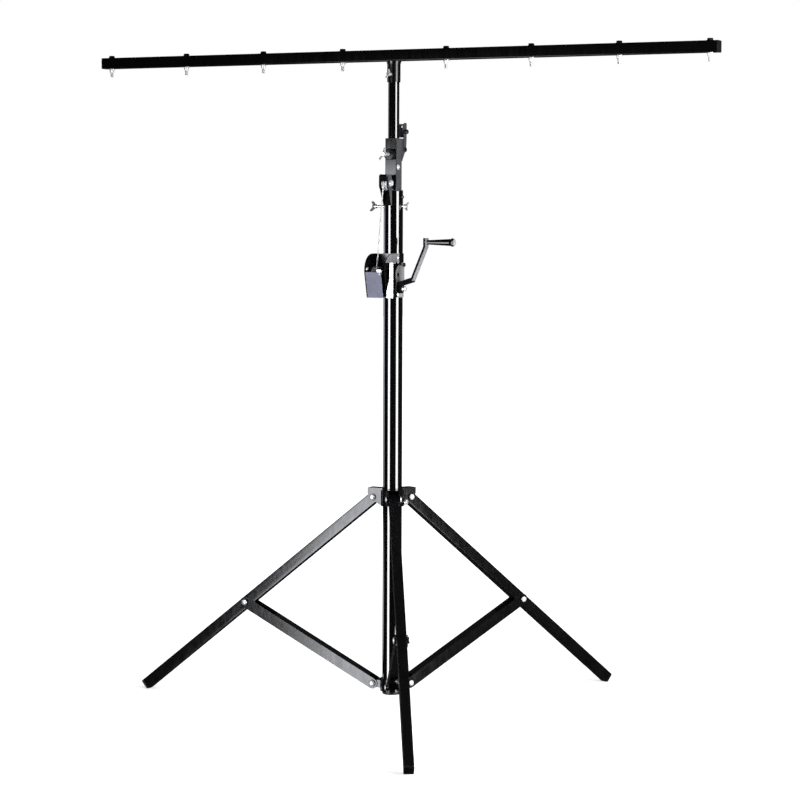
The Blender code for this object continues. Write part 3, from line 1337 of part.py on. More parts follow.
def build_winding():
    """The safety turns left on the drum when the mast is down, as one unbroken helix."""
    count = round(LOOP_POINTS * WINDING_TURNS)
    points = []
    for i in range(count + 1):
        turns = WINDING_TURNS * i / count
        points.append(on_drum(first_turn_x() + WINDING_PITCH * turns, 2 * math.pi * (turns - WINDING_TURNS) - 0.6))
    wire("drum_winding", points, CABLE_RADIUS, CABLE_STEEL)
    least = min((a - b).length for i, a in enumerate(points) for j, b in enumerate(points) if j - i > LOOP_POINTS // 2)
    print(f"least gap between the winding's turns: {(least - 2 * CABLE_RADIUS) * 1000:.2f} mm")


def build_cable():
    """From a last loop on the drum up to the pulley, over it, and down inside the mast to its ferrule."""
    x = last_turn_x()
    wheel_y = pulley_y()
    wrap = PULLEY_GROOVE_RADIUS + SEAT_GAP + CABLE_RADIUS
    rise = PULLEY_Z - DRUM_Z
    run = wheel_y - WINCH_Y
    lean = math.atan2(run, rise) + math.asin((winding_radius() - wrap) / math.hypot(run, rise))
    loop_turn = math.radians(315)
    points = []
    loop_points = 21
    for i in range(loop_points):
        points.append(on_drum(x, loop_turn - (loop_turn + lean) * i / (loop_points - 1)))
    for i in range(13):
        turn = (math.pi - lean) * (1 - i / 12)
        points.append(Vector((PULLEY_X, wheel_y + wrap * math.cos(turn), PULLEY_Z + wrap * math.sin(turn))))
    points.append(Vector((PULLEY_X, CABLE_INNER_Y, PULLEY_Z - 0.006)))
    wire("lift_cable_outer", points, CABLE_RADIUS, CABLE_STEEL, 2)
    top = Vector((PULLEY_X, CABLE_INNER_Y, PULLEY_Z - 0.006 - SEAT_GAP))
    foot = Vector((PULLEY_X, CABLE_INNER_Y, cable_anchor_z() + SEAT_GAP))
    wire("lift_cable_inner", [foot, top], CABLE_RADIUS, CABLE_STEEL, 2)


build_mast()
build_guide_bush()
build_middle()
build_head_box()
build_clamp_screw()
build_latch()
build_pole()
build_socket()
build_lamp_bar()
build_lamp_bolts()
for leg_name, leg_azimuth in LEG_AZIMUTHS.items():
    build_leg(leg_name, leg_azimuth)
    build_brace(leg_name, leg_azimuth)
build_top_collar()
build_collar_screw()
build_bottom_collar()
build_pulley()
build_lock_screws()
build_frame()
build_drum_cover()
build_straps()
build_drum()
build_shaft()
build_gear_plate()
build_crank()
build_grip()
build_winding()
build_cable()
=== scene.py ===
"""The look of the crank light stand: finishes, small fittings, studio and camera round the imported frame."""

import json
import math

import bmesh
import bpy
from mathutils import Matrix, Vector


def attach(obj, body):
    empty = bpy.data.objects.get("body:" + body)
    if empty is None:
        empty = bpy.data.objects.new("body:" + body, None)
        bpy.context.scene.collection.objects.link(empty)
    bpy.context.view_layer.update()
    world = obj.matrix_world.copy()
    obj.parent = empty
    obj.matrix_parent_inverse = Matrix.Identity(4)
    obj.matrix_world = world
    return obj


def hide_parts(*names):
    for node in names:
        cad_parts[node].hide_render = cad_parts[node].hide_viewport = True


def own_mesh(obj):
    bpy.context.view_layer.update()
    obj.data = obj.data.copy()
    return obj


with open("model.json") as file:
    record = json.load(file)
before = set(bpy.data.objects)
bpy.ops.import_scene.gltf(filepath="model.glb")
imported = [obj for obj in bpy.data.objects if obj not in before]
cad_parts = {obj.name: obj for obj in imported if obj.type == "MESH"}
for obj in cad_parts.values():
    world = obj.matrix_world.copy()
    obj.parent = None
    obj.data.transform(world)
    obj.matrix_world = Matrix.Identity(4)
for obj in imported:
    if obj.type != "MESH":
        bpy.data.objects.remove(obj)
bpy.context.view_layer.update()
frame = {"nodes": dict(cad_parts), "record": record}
nodes = frame["nodes"]
scene = bpy.context.scene
scene.view_settings.view_transform = "Standard"

FOCAL_LENGTH = 110.228
SENSOR_WIDTH = 36.0
CAMERA_PLACE = (3.2735, -6.9001, 1.5322)
CAMERA_AZIMUTH = math.radians(25.2094)
CAMERA_PITCH = 0.0716
CAMERA_ROLL = 0.0037

# The stand's own measures, in metres, where a fitting is set on it
MAST_RADIUS = 0.030
MAST_WALL = 0.0025
MAST_ENDS = (0.066, 1.635)
MIDDLE_RADIUS = 0.0215
MIDDLE_ENDS = (0.115, 1.6381)
POLE_RADIUS = 0.0175
POLE_ENDS = (0.620, 2.0309)
INNER_WALL = 0.002
DEBURRED_LIP = 0.0006
LEG_AZIMUTHS = {"left": 180.0, "right": 61.5, "front": -61.5}
PIVOT_REACH = 0.060
TOP_PIVOT_Z = 0.678
BOTTOM_PIVOT_Z = 0.087
KNEE_REACH = 0.517
KNEE_Z = 0.314
BAR_CENTRE_Z = 2.053
BAR_HALF = 0.0175
BAR_HALF_LENGTH = 1.047
LAMP_BOLTS_A_SIDE = 4
LAMP_BOLT_FIRST = 0.177
LAMP_BOLT_INSET = 0.026
LAMP_BOLT_PITCH = (BAR_HALF_LENGTH - LAMP_BOLT_INSET - LAMP_BOLT_FIRST) / (LAMP_BOLTS_A_SIDE - 1)
HEAD_CLAMP_Z = 1.748
HEAD_FRONT_Y = -0.020
HEAD_BOLT_SEAT = (0.0200, -0.0090, 1.709)
BUSH_SCREW_SEAT = (0.0299, 0, 1.6170)
WINCH_Y = -0.070
DRUM_Z = 1.377
LEFT_CHEEK_X = -0.042
LEFT_CHEEK_INNER_X = -0.039
# Height above which the winch's right cheek is drawn in grey painted light
FRAME_LIT_ABOVE_Z = 1.4145
FRAME_RIGHT_OF_X = -0.036
FRAME_FRONT_OF_Y = -0.080
CRANK_ROOT_END_X = 0.1010
CRANK_ROOT_TOP_Z = 1.372
STRAP_SCREW_AZIMUTH = -44.0
STRAP_SCREW_REACH = 0.0326
STRAP_HEIGHTS = {"upper": 1.429, "lower": 1.3145}
SPACER_SEAT_X = 0.0284
SPACER_LENGTH = 0.0185
GEAR_PLATE_X = 0.050
GEAR_PLATE_EAR = (-0.0325, 1.4075)
COVER_TAB_MIDDLE = (0.0060, -0.1141, 1.3850)
COVER_TAB_SIZE = (0.0160, 0.0018, 0.0160)
COVER_TAB_CORNER = 0.0030
COVER_RIVET_PLACE = (0.0090, -0.1188, 1.3798)
COVER_RIVET_AXIS = (0, -1, -0.24)
WINDING_RADIUS = 0.0224
WINDING_PITCH = 0.0046
WINDING_TURNS = 3.5
FIRST_TURN_X = -0.0341
LAST_TURN_X = -0.0136
PULLEY_X = -0.004
PULLEY_Y = -0.0438
PULLEY_Z = 1.659
PULLEY_WRAP = 0.0198
FORK_RIGHT_X = 0.0064
FORK_LIP_MIDDLE = (PULLEY_X, -0.0684, 1.6725)
FORK_LIP_SIZE = (0.0255, 0.0016, 0.0170)
FORK_LIP_FOLD = (0, 0.0060, 0.0040)
CABLE_RADIUS = 0.002
CABLE_INNER_Y = -0.024
STRANDS = 6
STRAND_STEP = 0.0022

# How far a face's normal leans to an axis before the face counts as facing along it
FACING = 0.6

# The cells of the surface patterns, in metres, from their real sizes: baked coats are cleaner and duller in
# patches of some 45 mm with wiped smears of 12 mm, zinc blooms in clouds of 6 mm, mouldings flow in 20 mm
PATCH_CELL = 0.045
SMEAR_CELL = 0.012
BLOOM_CELL = 0.006
MOULD_PATCH_CELL = 0.020
# Drawn marks under 0.1 mm wide and moulded grit of 0.2 mm are too fine to show in a picture of the whole
# stand, so both are drawn coarser, at 0.8 and 0.9 mm
MARK_CELL = 0.0008
GRIT_CELL = 0.0009
# The most that a pattern stands up from its surface, in metres
PEEL_HEIGHT = 0.00006
MARK_HEIGHT = 0.00003
GRIT_HEIGHT = 0.00005
# The clear, hard skin that stove enamel has over its colour
COAT_ROUGHNESS = 0.04
COAT_IOR = 1.6


def linear(code):
    """An sRGB hex colour as linear red, green, blue and alpha."""
    channels = [int(code[i:i + 2], 16) / 255 for i in (1, 3, 5)]
    values = [c / 12.92 if c <= 0.04045 else ((c + 0.055) / 1.055) ** 2.4 for c in channels]
    return (*values, 1.0)


def add(tree, kind, settings=None, links=None):
    """A node with its properties, its input values and the outputs that feed it."""
    made = tree.nodes.new(kind)
    for key, value in (settings or {}).items():
        if key in made.inputs:
            made.inputs[key].default_value = value
        else:
            setattr(made, key, value)
    for key, source in (links or {}).items():
        tree.links.new(source, made.inputs[key])
    return made


def ramp(tree, source, stops):
    """A colour ramp over a value; the stops are places and sRGB hex colours or grey levels."""
    made = add(tree, "ShaderNodeValToRGB", links={"Fac": source})
    points = made.color_ramp.elements
    while len(points) < len(stops):
        points.new(0.5)
    for point, (place, colour) in zip(points, stops):
        point.position = place
        point.color = linear(colour) if isinstance(colour, str) else (colour, colour, colour, 1)
    return made.outputs["Color"]


def finish(name):
    """A new material with its tree, its shader and the object's own coordinates."""
    made = bpy.data.materials.new(name)
    made.use_nodes = True
    tree = made.node_tree
    place = add(tree, "ShaderNodeTexCoord").outputs["Object"]
    return made, tree, tree.nodes["Principled BSDF"], place


def noise(tree, place, cell, detail=2.0, roughness=0.5, stretch=(1, 1, 1)):
    """Noise whose features are about one cell wide, in metres."""
    spread = add(tree, "ShaderNodeMapping", {"Scale": stretch}, {"Vector": place}).outputs["Vector"]
    settings = {"Scale": 1 / cell, "Detail": detail, "Roughness": roughness}
    return add(tree, "ShaderNodeTexNoise", settings, {"Vector": spread}).outputs["Fac"]


def bump(tree, shader, height, strength, distance):
    """Raises a shader's surface by a pattern, at most by a distance in metres."""
    made = add(tree, "ShaderNodeBump", {"Strength": strength, "Distance": distance}, {"Height": height})
    tree.links.new(made.outputs["Normal"], shader.inputs["Normal"])


def varied(tree, shader, socket, pattern, low, high):
    """Moves one of the shader's values with a pattern; low and high are each a place and its value."""
    tree.links.new(ramp(tree, pattern, [low, high]), shader.inputs[socket])


def painted(name, colours, roughness, peel, peel_cell, coat=0.0, shine=0.5):
    """Steel under baked paint: a dark skin with a faint orange peel and cleaner or duller patches."""
    made, tree, shader, place = finish(name)
    patches = noise(tree, place, PATCH_CELL, 4.0, 0.6)
    varied(tree, shader, "Base Color", patches, (0.35, colours[0]), (0.70, colours[1]))
    smears = noise(tree, place, SMEAR_CELL, 3.0, 0.6, (1, 1, 0.25))
    varied(tree, shader, "Roughness", smears, (0.3, roughness[0]), (0.75, roughness[1]))
    bump(tree, shader, noise(tree, place, peel_cell, 1.0), peel, PEEL_HEIGHT)
    shader.inputs["Coat Weight"].default_value = coat
    shader.inputs["Coat Roughness"].default_value = COAT_ROUGHNESS
    shader.inputs["Coat IOR"].default_value = COAT_IOR
    shader.inputs["Specular IOR Level"].default_value = shine
    return made


def metal(name, colours, roughness, grain, bare=1.0, cloud=BLOOM_CELL):
    """Plated steel: a bright skin, a little cloudy, with fine drawn marks; bloom leaves less of it bare."""
    made, tree, shader, place = finish(name)
    shader.inputs["Metallic"].default_value = bare
    clouds = noise(tree, place, cloud, 3.0, 0.6)
    varied(tree, shader, "Base Color", clouds, (0.3, colours[0]), (0.7, colours[1]))
    marks = noise(tree, place, MARK_CELL, 2.0, 0.6, (1, 1, 4))
    varied(tree, shader, "Roughness", marks, (0.3, roughness[0]), (0.8, roughness[1]))
    bump(tree, shader, marks, grain, MARK_HEIGHT)
    return made


def moulded(name, colours, roughness, texture):
    """Injection-moulded plastic or rubber with a fine spark-eroded texture."""
    made, tree, shader, place = finish(name)
    patches = noise(tree, place, MOULD_PATCH_CELL, 3.0, 0.6)
    varied(tree, shader, "Base Color", patches, (0.35, colours[0]), (0.70, colours[1]))
    grit = noise(tree, place, GRIT_CELL, 2.0)
    varied(tree, shader, "Roughness", grit, (0.3, roughness[0]), (0.7, roughness[1]))
    bump(tree, shader, grit, texture, GRIT_HEIGHT)
    return made


# Stove enamel flows out almost flat, in faint waves of 8 mm, so a tube in it mirrors a window as one streak
GLOSS_ENAMEL = painted("gloss_black_stove_enamel", ("#030303", "#060607"), (0.055, 0.085),
                       peel=0.015, peel_cell=0.0080, coat=1.0, shine=1.0)
# The bar's flat sides have a thinner semi-gloss coat with a 4 mm peel, which mirrors a window as plain grey
BAR_ENAMEL = painted("semi_gloss_black_enamel_on_steel", ("#040404", "#070708"), (0.14, 0.22),
                     peel=0.06, peel_cell=0.0040, shine=0.18)
# The head's drawn front has a 3 mm peel, and is dark above and lit where it mirrors a low window
HEAD_ENAMEL = painted("semi_gloss_black_enamel_on_drawn_box", ("#050505", "#0a0a0a"), (0.10, 0.16),
                      peel=0.10, peel_cell=0.0030, shine=0.50)
# Powder coat keeps a finer, sharper peel of about 1 mm and a softer shine
POWDER_COAT = painted("black_powder_coat_on_steel", ("#050505", "#0a0a0b"), (0.15, 0.26),
                      peel=0.35, peel_cell=0.0009, shine=0.65)
# The head's plates have a coarser coat that scatters light and looks dark grey beside the tubes; its
# grains of 0.3 mm are drawn at 1.1 mm, which is as coarse as they need to show
TEXTURED_COAT = painted("textured_black_powder_coat_on_steel", ("#353538", "#414145"), (0.44, 0.60),
                        peel=0.8, peel_cell=0.0011)
# A light grey that is painted light: plates and faces turned to the lamps on the right are drawn in it,
# beside black painted shade; its dimples of 1.6 mm keep a flat plate in it one even, unmirrored grey
LIT_GREY = painted("grey_painted_light_on_plates", ("#68686b", "#78787b"), (0.40, 0.55),
                     peel=0.9, peel_cell=0.0016)
# A dull black that is painted shade: edges and faces turned away from the lamps are drawn in it, which
# draws each plate's outline in black; the shear's tear marks of 0.2 mm are drawn at 1 mm to show
SHADE_BLACK = painted("dull_black_painted_shade", ("#030303", "#070707"), (0.60, 0.75),
                     peel=0.8, peel_cell=0.0010, shine=0.08)
# The cover's cured polyester powder is pale and cool, the one coloured surface of the stand
GREY_COAT = painted("blue_grey_powder_coat_on_steel", ("#75778e", "#7c7e97"), (0.30, 0.45),
                    peel=0.35, peel_cell=0.0009, shine=0.3)
# Electroplated zinc is bright with a milky bloom, chrome is clearer, wire rope is dull and greyer
ZINC = metal("clear_passivated_zinc_plate", ("#d2d5d8", "#eceeef"), (0.34, 0.50), grain=0.4, bare=0.55)
CHROME = metal("bright_chrome_plate", ("#dcdee0", "#ecedee"), (0.12, 0.20), grain=0.15, bare=0.70)
CABLE = metal("galvanised_wire_rope", ("#c4c7ca", "#e2e4e6"), (0.35, 0.50), grain=0.5, bare=0.60,
              cloud=BLOOM_CELL / 2)
# The hobbed gears and the drum are left in oiled steel, which is dark and only glints on its edges
GEAR_STEEL = metal("oiled_hobbed_steel", ("#2c2c2e", "#434346"), (0.28, 0.44), grain=0.4)
# Hot blackened bolts keep a thin oily film, so they stay dark with a faint glint at the corners
BLACK_OXIDE = metal("black_oxide_bolt_steel", ("#161617", "#262628"), (0.30, 0.45), grain=0.4)
# Nylon comes dull from its spark-eroded mould, dipped rubber comes smooth and wet-looking
NYLON = moulded("moulded_black_nylon_6", ("#060606", "#0d0d0d"), (0.38, 0.50), texture=0.5)
RUBBER = moulded("dipped_black_pvc_rubber", ("#050505", "#0a0a0a"), (0.08, 0.14), texture=0.2)

BY_SLOT = {
    "gloss_black_paint": GLOSS_ENAMEL,
    "satin_black_paint": POWDER_COAT,
    "grey_blue_paint": GREY_COAT,
    "zinc_plated_steel": ZINC,
    "chromed_steel": CHROME,
    "galvanised_cable": CABLE,
    "black_nylon": NYLON,
    "black_rubber": RUBBER,
}
OWN_SKIN = {
    "head_box": TEXTURED_COAT,
    "latch_bracket": TEXTURED_COAT,
    "latch_lever": TEXTURED_COAT,
    "pulley_fork": TEXTURED_COAT,
    # The gear plate, the crank arm and the lower strap take the grey of painted light
    "gear_plate": LIT_GREY,
    "crank_arm": LIT_GREY,
    "winch_strap_lower": LIT_GREY,
    "lamp_bar": BAR_ENAMEL,
    "drum_gear": GEAR_STEEL,
    "pinion_shaft": GEAR_STEEL,
    "cable_drum": GEAR_STEEL,
}
SLOT_OF = {row["node"]: row["material_slot"] for row in frame["record"]["subparts"]}
BODIES = frame["record"]["behaviour"]["bodies"]
BODY_OF = {node: body for body, members in BODIES.items() for node in members}
finished = set()

# How far each node's edges are broken, in metres; a node that isn't named keeps its edges as they are
SHEET_EDGE = 0.0004
SOFT_EDGES = {
    "lamp_bar": 0.0005,
    "bar_cap_left": 0.0006,
    "bar_cap_right": 0.0006,
    "socket_thumbscrew": 0.0006,
    "head_box": 0.0005,
    "head_clamp_screw": 0.0007,
    "latch_lever": SHEET_EDGE,
    "latch_bracket": SHEET_EDGE,
    "pulley_fork": SHEET_EDGE,
    "mast_lock_screw_left": 0.0007,
    "mast_lock_screw_right": 0.0006,
    "winch_frame": SHEET_EDGE,
    "drum_cover": 0.0005,
    "gear_plate": 0.0005,
    "gear_guard": SHEET_EDGE,
    "crank_arm": 0.0010,
    "drum_gear": 0.00015,
    "pinion_shaft": 0.00015,
    "top_collar": SHEET_EDGE,
    "bottom_collar": 0.0005,
}
for leg in LEG_AZIMUTHS:
    SOFT_EDGES[f"leg_{leg}"] = SHEET_EDGE
    SOFT_EDGES[f"brace_{leg}"] = SHEET_EDGE
    SOFT_EDGES[f"foot_cap_{leg}"] = 0.0007


def clear_selection():
    """Leaves edit mode and selects nothing."""
    if bpy.context.object and bpy.context.object.mode != "OBJECT":
        bpy.ops.object.mode_set(mode="OBJECT")
    bpy.ops.object.select_all(action="DESELECT")


def pick(piece):
    """Makes a piece the only selected one."""
    clear_selection()
    bpy.context.view_layer.objects.active = piece
    piece.select_set(True)


def along(axis, place):
    """A matrix that stands a turned piece's own Z along a world axis."""
    z_axis = Vector(axis).normalized()
    side = Vector((1, 0, 0)) if abs(z_axis.x) < 0.9 else Vector((0, 1, 0))
    x_axis = (side - side.dot(z_axis) * z_axis).normalized()
    turn = Matrix((x_axis, z_axis.cross(x_axis), z_axis)).transposed().to_4x4()
    return Matrix.Translation(place) @ turn


def settle(piece, matrix):
    """Puts a piece in its place in the stand, with the place kept in its mesh."""
    piece.matrix_world = matrix
    pick(piece)
    bpy.ops.object.transform_apply(location=True, rotation=True, scale=True)
    return piece


def block(name, middle, size):
    """A box to be shaped, at its place and size."""
    clear_selection()
    bpy.ops.mesh.primitive_cube_add(size=1, location=middle)
    piece = bpy.context.object
    piece.name = name
    piece.scale = size
    bpy.ops.object.transform_apply(location=True, rotation=True, scale=True)
    return piece


def choose(piece, wanted, edges=False):
    """In edit mode, selects the faces of a piece that pass a test, or its edges, and nothing else."""
    bpy.ops.mesh.select_all(action="DESELECT")
    shell = bmesh.from_edit_mesh(piece.data)
    for item in shell.edges if edges else shell.faces:
        item.select = wanted(item)
    bmesh.update_edit_mesh(piece.data)


def coat_faces(piece, skin, wanted):
    """Gives a finished piece a further skin on the faces that pass a test and have none but the first."""
    piece.data.materials.append(skin)
    for face in piece.data.polygons:
        if face.material_index == 0 and wanted(face):
            face.material_index = len(piece.data.materials) - 1


def keep_flats(piece):
    """Weights a piece's normals by face, so that its flats stay flat beside broken edges."""
    flat = piece.modifiers.new("flat_faces", "WEIGHTED_NORMAL")
    flat.keep_sharp = True
    bpy.ops.object.modifier_apply(modifier="flat_faces")


def hand_in(piece, body, slot, replaces=(), angle=35.0):
    """Gives a piece its finish and its body; its rounds are smooth and its flats stay flat."""
    pick(piece)
    own = [OWN_SKIN[node] for node in replaces if node in OWN_SKIN]
    piece.data.materials.clear()
    piece.data.materials.append(own[0] if own else BY_SLOT[slot])
    bpy.ops.object.shade_smooth_by_angle(angle=math.radians(angle))
    keep_flats(piece)
    piece.select_set(False)
    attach(piece, body)
    for node in replaces:
        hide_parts(node)
        finished.add(node)
    return piece


def another(piece, name, matrix):
    """The same piece again, with its own mesh, moved from where it was modelled."""
    copy = bpy.data.objects.new(name, piece.data.copy())
    scene.collection.objects.link(copy)
    return settle(copy, matrix)


def lathe(name, profile, sides=48):
    """A piece turned about Z: one point drawn along a profile of (radius, height), then spun round."""
    clear_selection()
    bpy.ops.mesh.primitive_plane_add(size=0.01, location=(0, 0, 0))
    piece = bpy.context.object
    piece.name = name
    bpy.ops.object.mode_set(mode="EDIT")
    bpy.ops.mesh.select_all(action="SELECT")
    bpy.ops.mesh.merge(type="CENTER")
    bpy.ops.transform.translate(value=(profile[0][0], 0, profile[0][1]))
    for (r0, z0), (r1, z1) in zip(profile, profile[1:]):
        bpy.ops.mesh.extrude_vertices_move(TRANSFORM_OT_translate={"value": (r1 - r0, 0, z1 - z0)})
    bpy.ops.mesh.select_all(action="SELECT")
    bpy.ops.mesh.spin(steps=sides, angle=2 * math.pi, center=(0, 0, 0), axis=(0, 0, 1))
    bpy.ops.mesh.select_all(action="SELECT")
    bpy.ops.mesh.remove_doubles(threshold=0.000002)
    bpy.ops.mesh.normals_make_consistent(inside=False)
    bpy.ops.object.mode_set(mode="OBJECT")
    return piece


def hexagon_head(name, across, height, crown=0.12):
    """A bolt head or nut on Z: six sides, with its top drawn in and its corners chamfered."""
    clear_selection()
    bpy.ops.mesh.primitive_cylinder_add(vertices=6, radius=across / math.sqrt(3), depth=height,
                                        location=(0, 0, height / 2))
    piece = bpy.context.object
    piece.name = name
    bpy.ops.object.transform_apply(location=True, rotation=True, scale=True)
    bpy.ops.object.mode_set(mode="EDIT")
    choose(piece, lambda face: face.normal.z > 0.9)
    bpy.ops.mesh.inset(thickness=across * crown, depth=0)
    bpy.ops.transform.translate(value=(0, 0, height * 0.14))
    bpy.ops.mesh.inset(thickness=across * 0.10, depth=0)
    bpy.ops.transform.translate(value=(0, 0, height * 0.03))
    bpy.ops.mesh.select_all(action="SELECT")
    bpy.ops.mesh.bevel(offset=across * 0.02, segments=2, affect="EDGES")
    bpy.ops.object.mode_set(mode="OBJECT")
    return piece


def joined(name, pieces):
    """Several shapes made one piece."""
    clear_selection()
    for piece in pieces:
        piece.select_set(True)
    bpy.context.view_layer.objects.active = pieces[0]
    bpy.ops.object.join()
    pieces[0].name = name
    return pieces[0]


def threads(low, high, radius, pitch=0.0015):
    """The profile of a screw's thread between two heights, crest and root in turn."""
    count = max(1, round((high - low) / pitch))
    step = (high - low) / count
    profile = []
    for i in range(count):
        profile += [(radius - 0.0006, low + i * step), (radius, low + (i + 0.5) * step)]
    return profile + [(radius - 0.0006, high)]


def carried_over(node, edge=0.0, angle=32.0):
    """A node's own shape with its corners welded, its rounds smooth and its edges softly broken."""
    mesh = nodes[node].data.copy()
    shell = bmesh.new()
    shell.from_mesh(mesh)
    bmesh.ops.remove_doubles(shell, verts=shell.verts, dist=0.00001)
    bmesh.ops.dissolve_limit(shell, angle_limit=math.radians(1.0), verts=shell.verts, edges=shell.edges)
    shell.to_mesh(mesh)
    shell.free()
    piece = bpy.data.objects.new(node + "_finished", mesh)
    scene.collection.objects.link(piece)
    if edge:
        pick(piece)
        bevel = piece.modifiers.new("edge", "BEVEL")
        bevel.width = edge
        bevel.segments = 2
        bevel.limit_method = "ANGLE"
        bevel.angle_limit = math.radians(angle)
        bpy.ops.object.modifier_apply(modifier="edge")
    return hand_in(piece, BODY_OF[node], SLOT_OF[node], (node,), angle)


def crank():
    """The crank arm: grey painted light on its broad sides, and black painted shade on its edges and at its
    thick root.
    """
    piece = carried_over("crank_arm", SOFT_EDGES["crank_arm"])
    # Faces not turned along X, and the thick root, get black painted shade
    coat_faces(piece, SHADE_BLACK, lambda face: abs(face.normal.x) < FACING or (
        face.center.x < CRANK_ROOT_END_X and face.center.z < CRANK_ROOT_TOP_Z))


def winch_frame():
    """The winch frame: satin black, with grey painted light on the top of its right cheek and black painted
    shade on its front faces.
    """
    piece = carried_over("winch_frame", SOFT_EDGES["winch_frame"])
    pick(piece)
    bpy.ops.object.mode_set(mode="EDIT")
    bpy.ops.mesh.select_all(action="SELECT")
    # Cut the faces where the right cheek's painted light stops
    bpy.ops.mesh.bisect(plane_co=(0, 0, FRAME_LIT_ABOVE_Z), plane_no=(0, 0, 1))
    bpy.ops.object.mode_set(mode="OBJECT")
    keep_flats(piece)
    # Grey painted light on the cheek's upper side faces, black painted shade on the front faces
    coat_faces(piece, LIT_GREY, lambda face: abs(face.normal.x) > FACING and (
        face.center.z > FRAME_LIT_ABOVE_Z and face.center.x > FRAME_RIGHT_OF_X))
    coat_faces(piece, SHADE_BLACK, lambda face: face.normal.y < -FACING and face.center.y < FRAME_FRONT_OF_Y)


def head_box():
    """The head box: coarse coat on its flanks, and smooth enamel on its front."""
    piece = carried_over("head_box", SOFT_EDGES["head_box"])
    coat_faces(piece, HEAD_ENAMEL, lambda face: face.normal.y < -FACING)


def pulley_fork():
    """The pulley's fork: its right cheek coated, black painted shade on the rest and on its edges, and a
    black lip over the rope.
    """
    piece = carried_over("pulley_fork", SOFT_EDGES["pulley_fork"])
    # All but the right cheek, and every face not turned along X, get black painted shade
    coat_faces(piece, SHADE_BLACK, lambda face: face.center.x < FORK_RIGHT_X or abs(face.normal.x) < FACING)
    lip = block("pulley_fork_lip", FORK_LIP_MIDDLE, FORK_LIP_SIZE)
    bpy.ops.object.mode_set(mode="EDIT")
    choose(lip, lambda face: face.normal.z > 0.9)
    bpy.ops.mesh.extrude_region_move(TRANSFORM_OT_translate={"value": FORK_LIP_FOLD})
    bpy.ops.mesh.select_all(action="SELECT")
    bpy.ops.mesh.bevel(offset=0.0004, segments=2, affect="EDGES")
    bpy.ops.object.mode_set(mode="OBJECT")
    hand_in(lip, "mast", "satin_black_paint")
    lip.data.materials[0] = SHADE_BLACK


def cover_keeper():
    """A zinc tab riveted behind the cover's upper edge, at its right end."""
    tab = block("cover_keeper_tab", COVER_TAB_MIDDLE, COVER_TAB_SIZE)
    bpy.ops.object.mode_set(mode="EDIT")
    choose(tab, lambda edge: abs(edge.verts[0].co.y - edge.verts[1].co.y) > 0.001, edges=True)
    bpy.ops.mesh.bevel(offset=COVER_TAB_CORNER, segments=5, affect="EDGES")
    choose(tab, lambda face: abs(face.normal.y) > 0.9)
    bpy.ops.mesh.inset(thickness=0.0004, depth=0)
    bpy.ops.object.mode_set(mode="OBJECT")
    hand_in(tab, "mast", "zinc_plated_steel")
    dome = [(0, 0.0019), (0.0020, 0.0016), (0.0031, 0.0008), (0.0034, 0), (0, 0)]
    rivet = settle(lathe("cover_keeper_rivet", dome, 24), along(COVER_RIVET_AXIS, COVER_RIVET_PLACE))
    hand_in(rivet, "mast", "zinc_plated_steel")


def outward(azimuth):
    """The level directions out from the mast and square to that, at an azimuth."""
    turn = math.radians(azimuth)
    return Vector((math.cos(turn), math.sin(turn), 0)), Vector((-math.sin(turn), math.cos(turn), 0))


def long_tube(name, node, radius, wall, ends):
    """A drawn tube with its cut ends deburred."""
    low, high = ends
    bore = radius - wall
    lip = DEBURRED_LIP
    outside = [(radius - lip, high), (radius, high - lip), (radius, low + lip), (radius - lip, low)]
    profile = outside + [(bore, low), (bore, high), outside[0]]
    hand_in(lathe(name, profile, 96), BODY_OF[node], SLOT_OF[node], (node,))


def tubes():
    """The mast, and the two tubes that slide in it and in each other."""
    long_tube("mast_drawn_tube", "mast_tube", MAST_RADIUS, MAST_WALL, MAST_ENDS)
    long_tube("middle_drawn_tube", "middle_tube", MIDDLE_RADIUS, INNER_WALL, MIDDLE_ENDS)
    long_tube("pole_drawn_tube", "pole_tube", POLE_RADIUS, INNER_WALL, POLE_ENDS)


def bright_bolt_ends():
    """Domed zinc ends on the bolts at the legs' pivots, the braces' pivots and the knees."""
    dome = [(0, 0.0046), (0.0058, 0.0043), (0.0078, 0.0034), (0.0090, 0.0018), (0.0093, 0), (0, 0)]
    ring = [(0, 0.0012), (0.0108, 0.0012), (0.0114, 0.0006), (0.0114, 0), (0, 0)]
    pattern = lathe("bolt_dome", dome, 28)
    washer = lathe("bolt_washer", ring, 32)
    for name, azimuth in LEG_AZIMUTHS.items():
        out, across = outward(azimuth)
        seats = {
            "leg_bolt": (PIVOT_REACH, TOP_PIVOT_Z, 0.0204, "collar"),
            "brace_bolt": (PIVOT_REACH, BOTTOM_PIVOT_Z, 0.0212, "mast"),
            "knee_bolt": (KNEE_REACH, KNEE_Z, 0.0206, f"brace_{name}"),
        }
        for label, (reach, height, offset, body) in seats.items():
            for side in (-1, 1):
                place = out * reach + Vector((0, 0, height)) + across * side * offset
                end = "a" if side < 0 else "b"
                seat = along(across * side, place)
                piece = another(pattern, f"{label}_{name}_{end}", seat @ Matrix.Translation((0, 0, 0.0007)))
                hand_in(piece, body, "zinc_plated_steel")
                # The washers are black, partly the stand's black paint and partly painted shade: the dark
                # ring round each bright bolt end
                hand_in(another(washer, f"{label}_washer_{name}_{end}", seat), body, "satin_black_paint")
    bpy.data.objects.remove(pattern)
    bpy.data.objects.remove(washer)


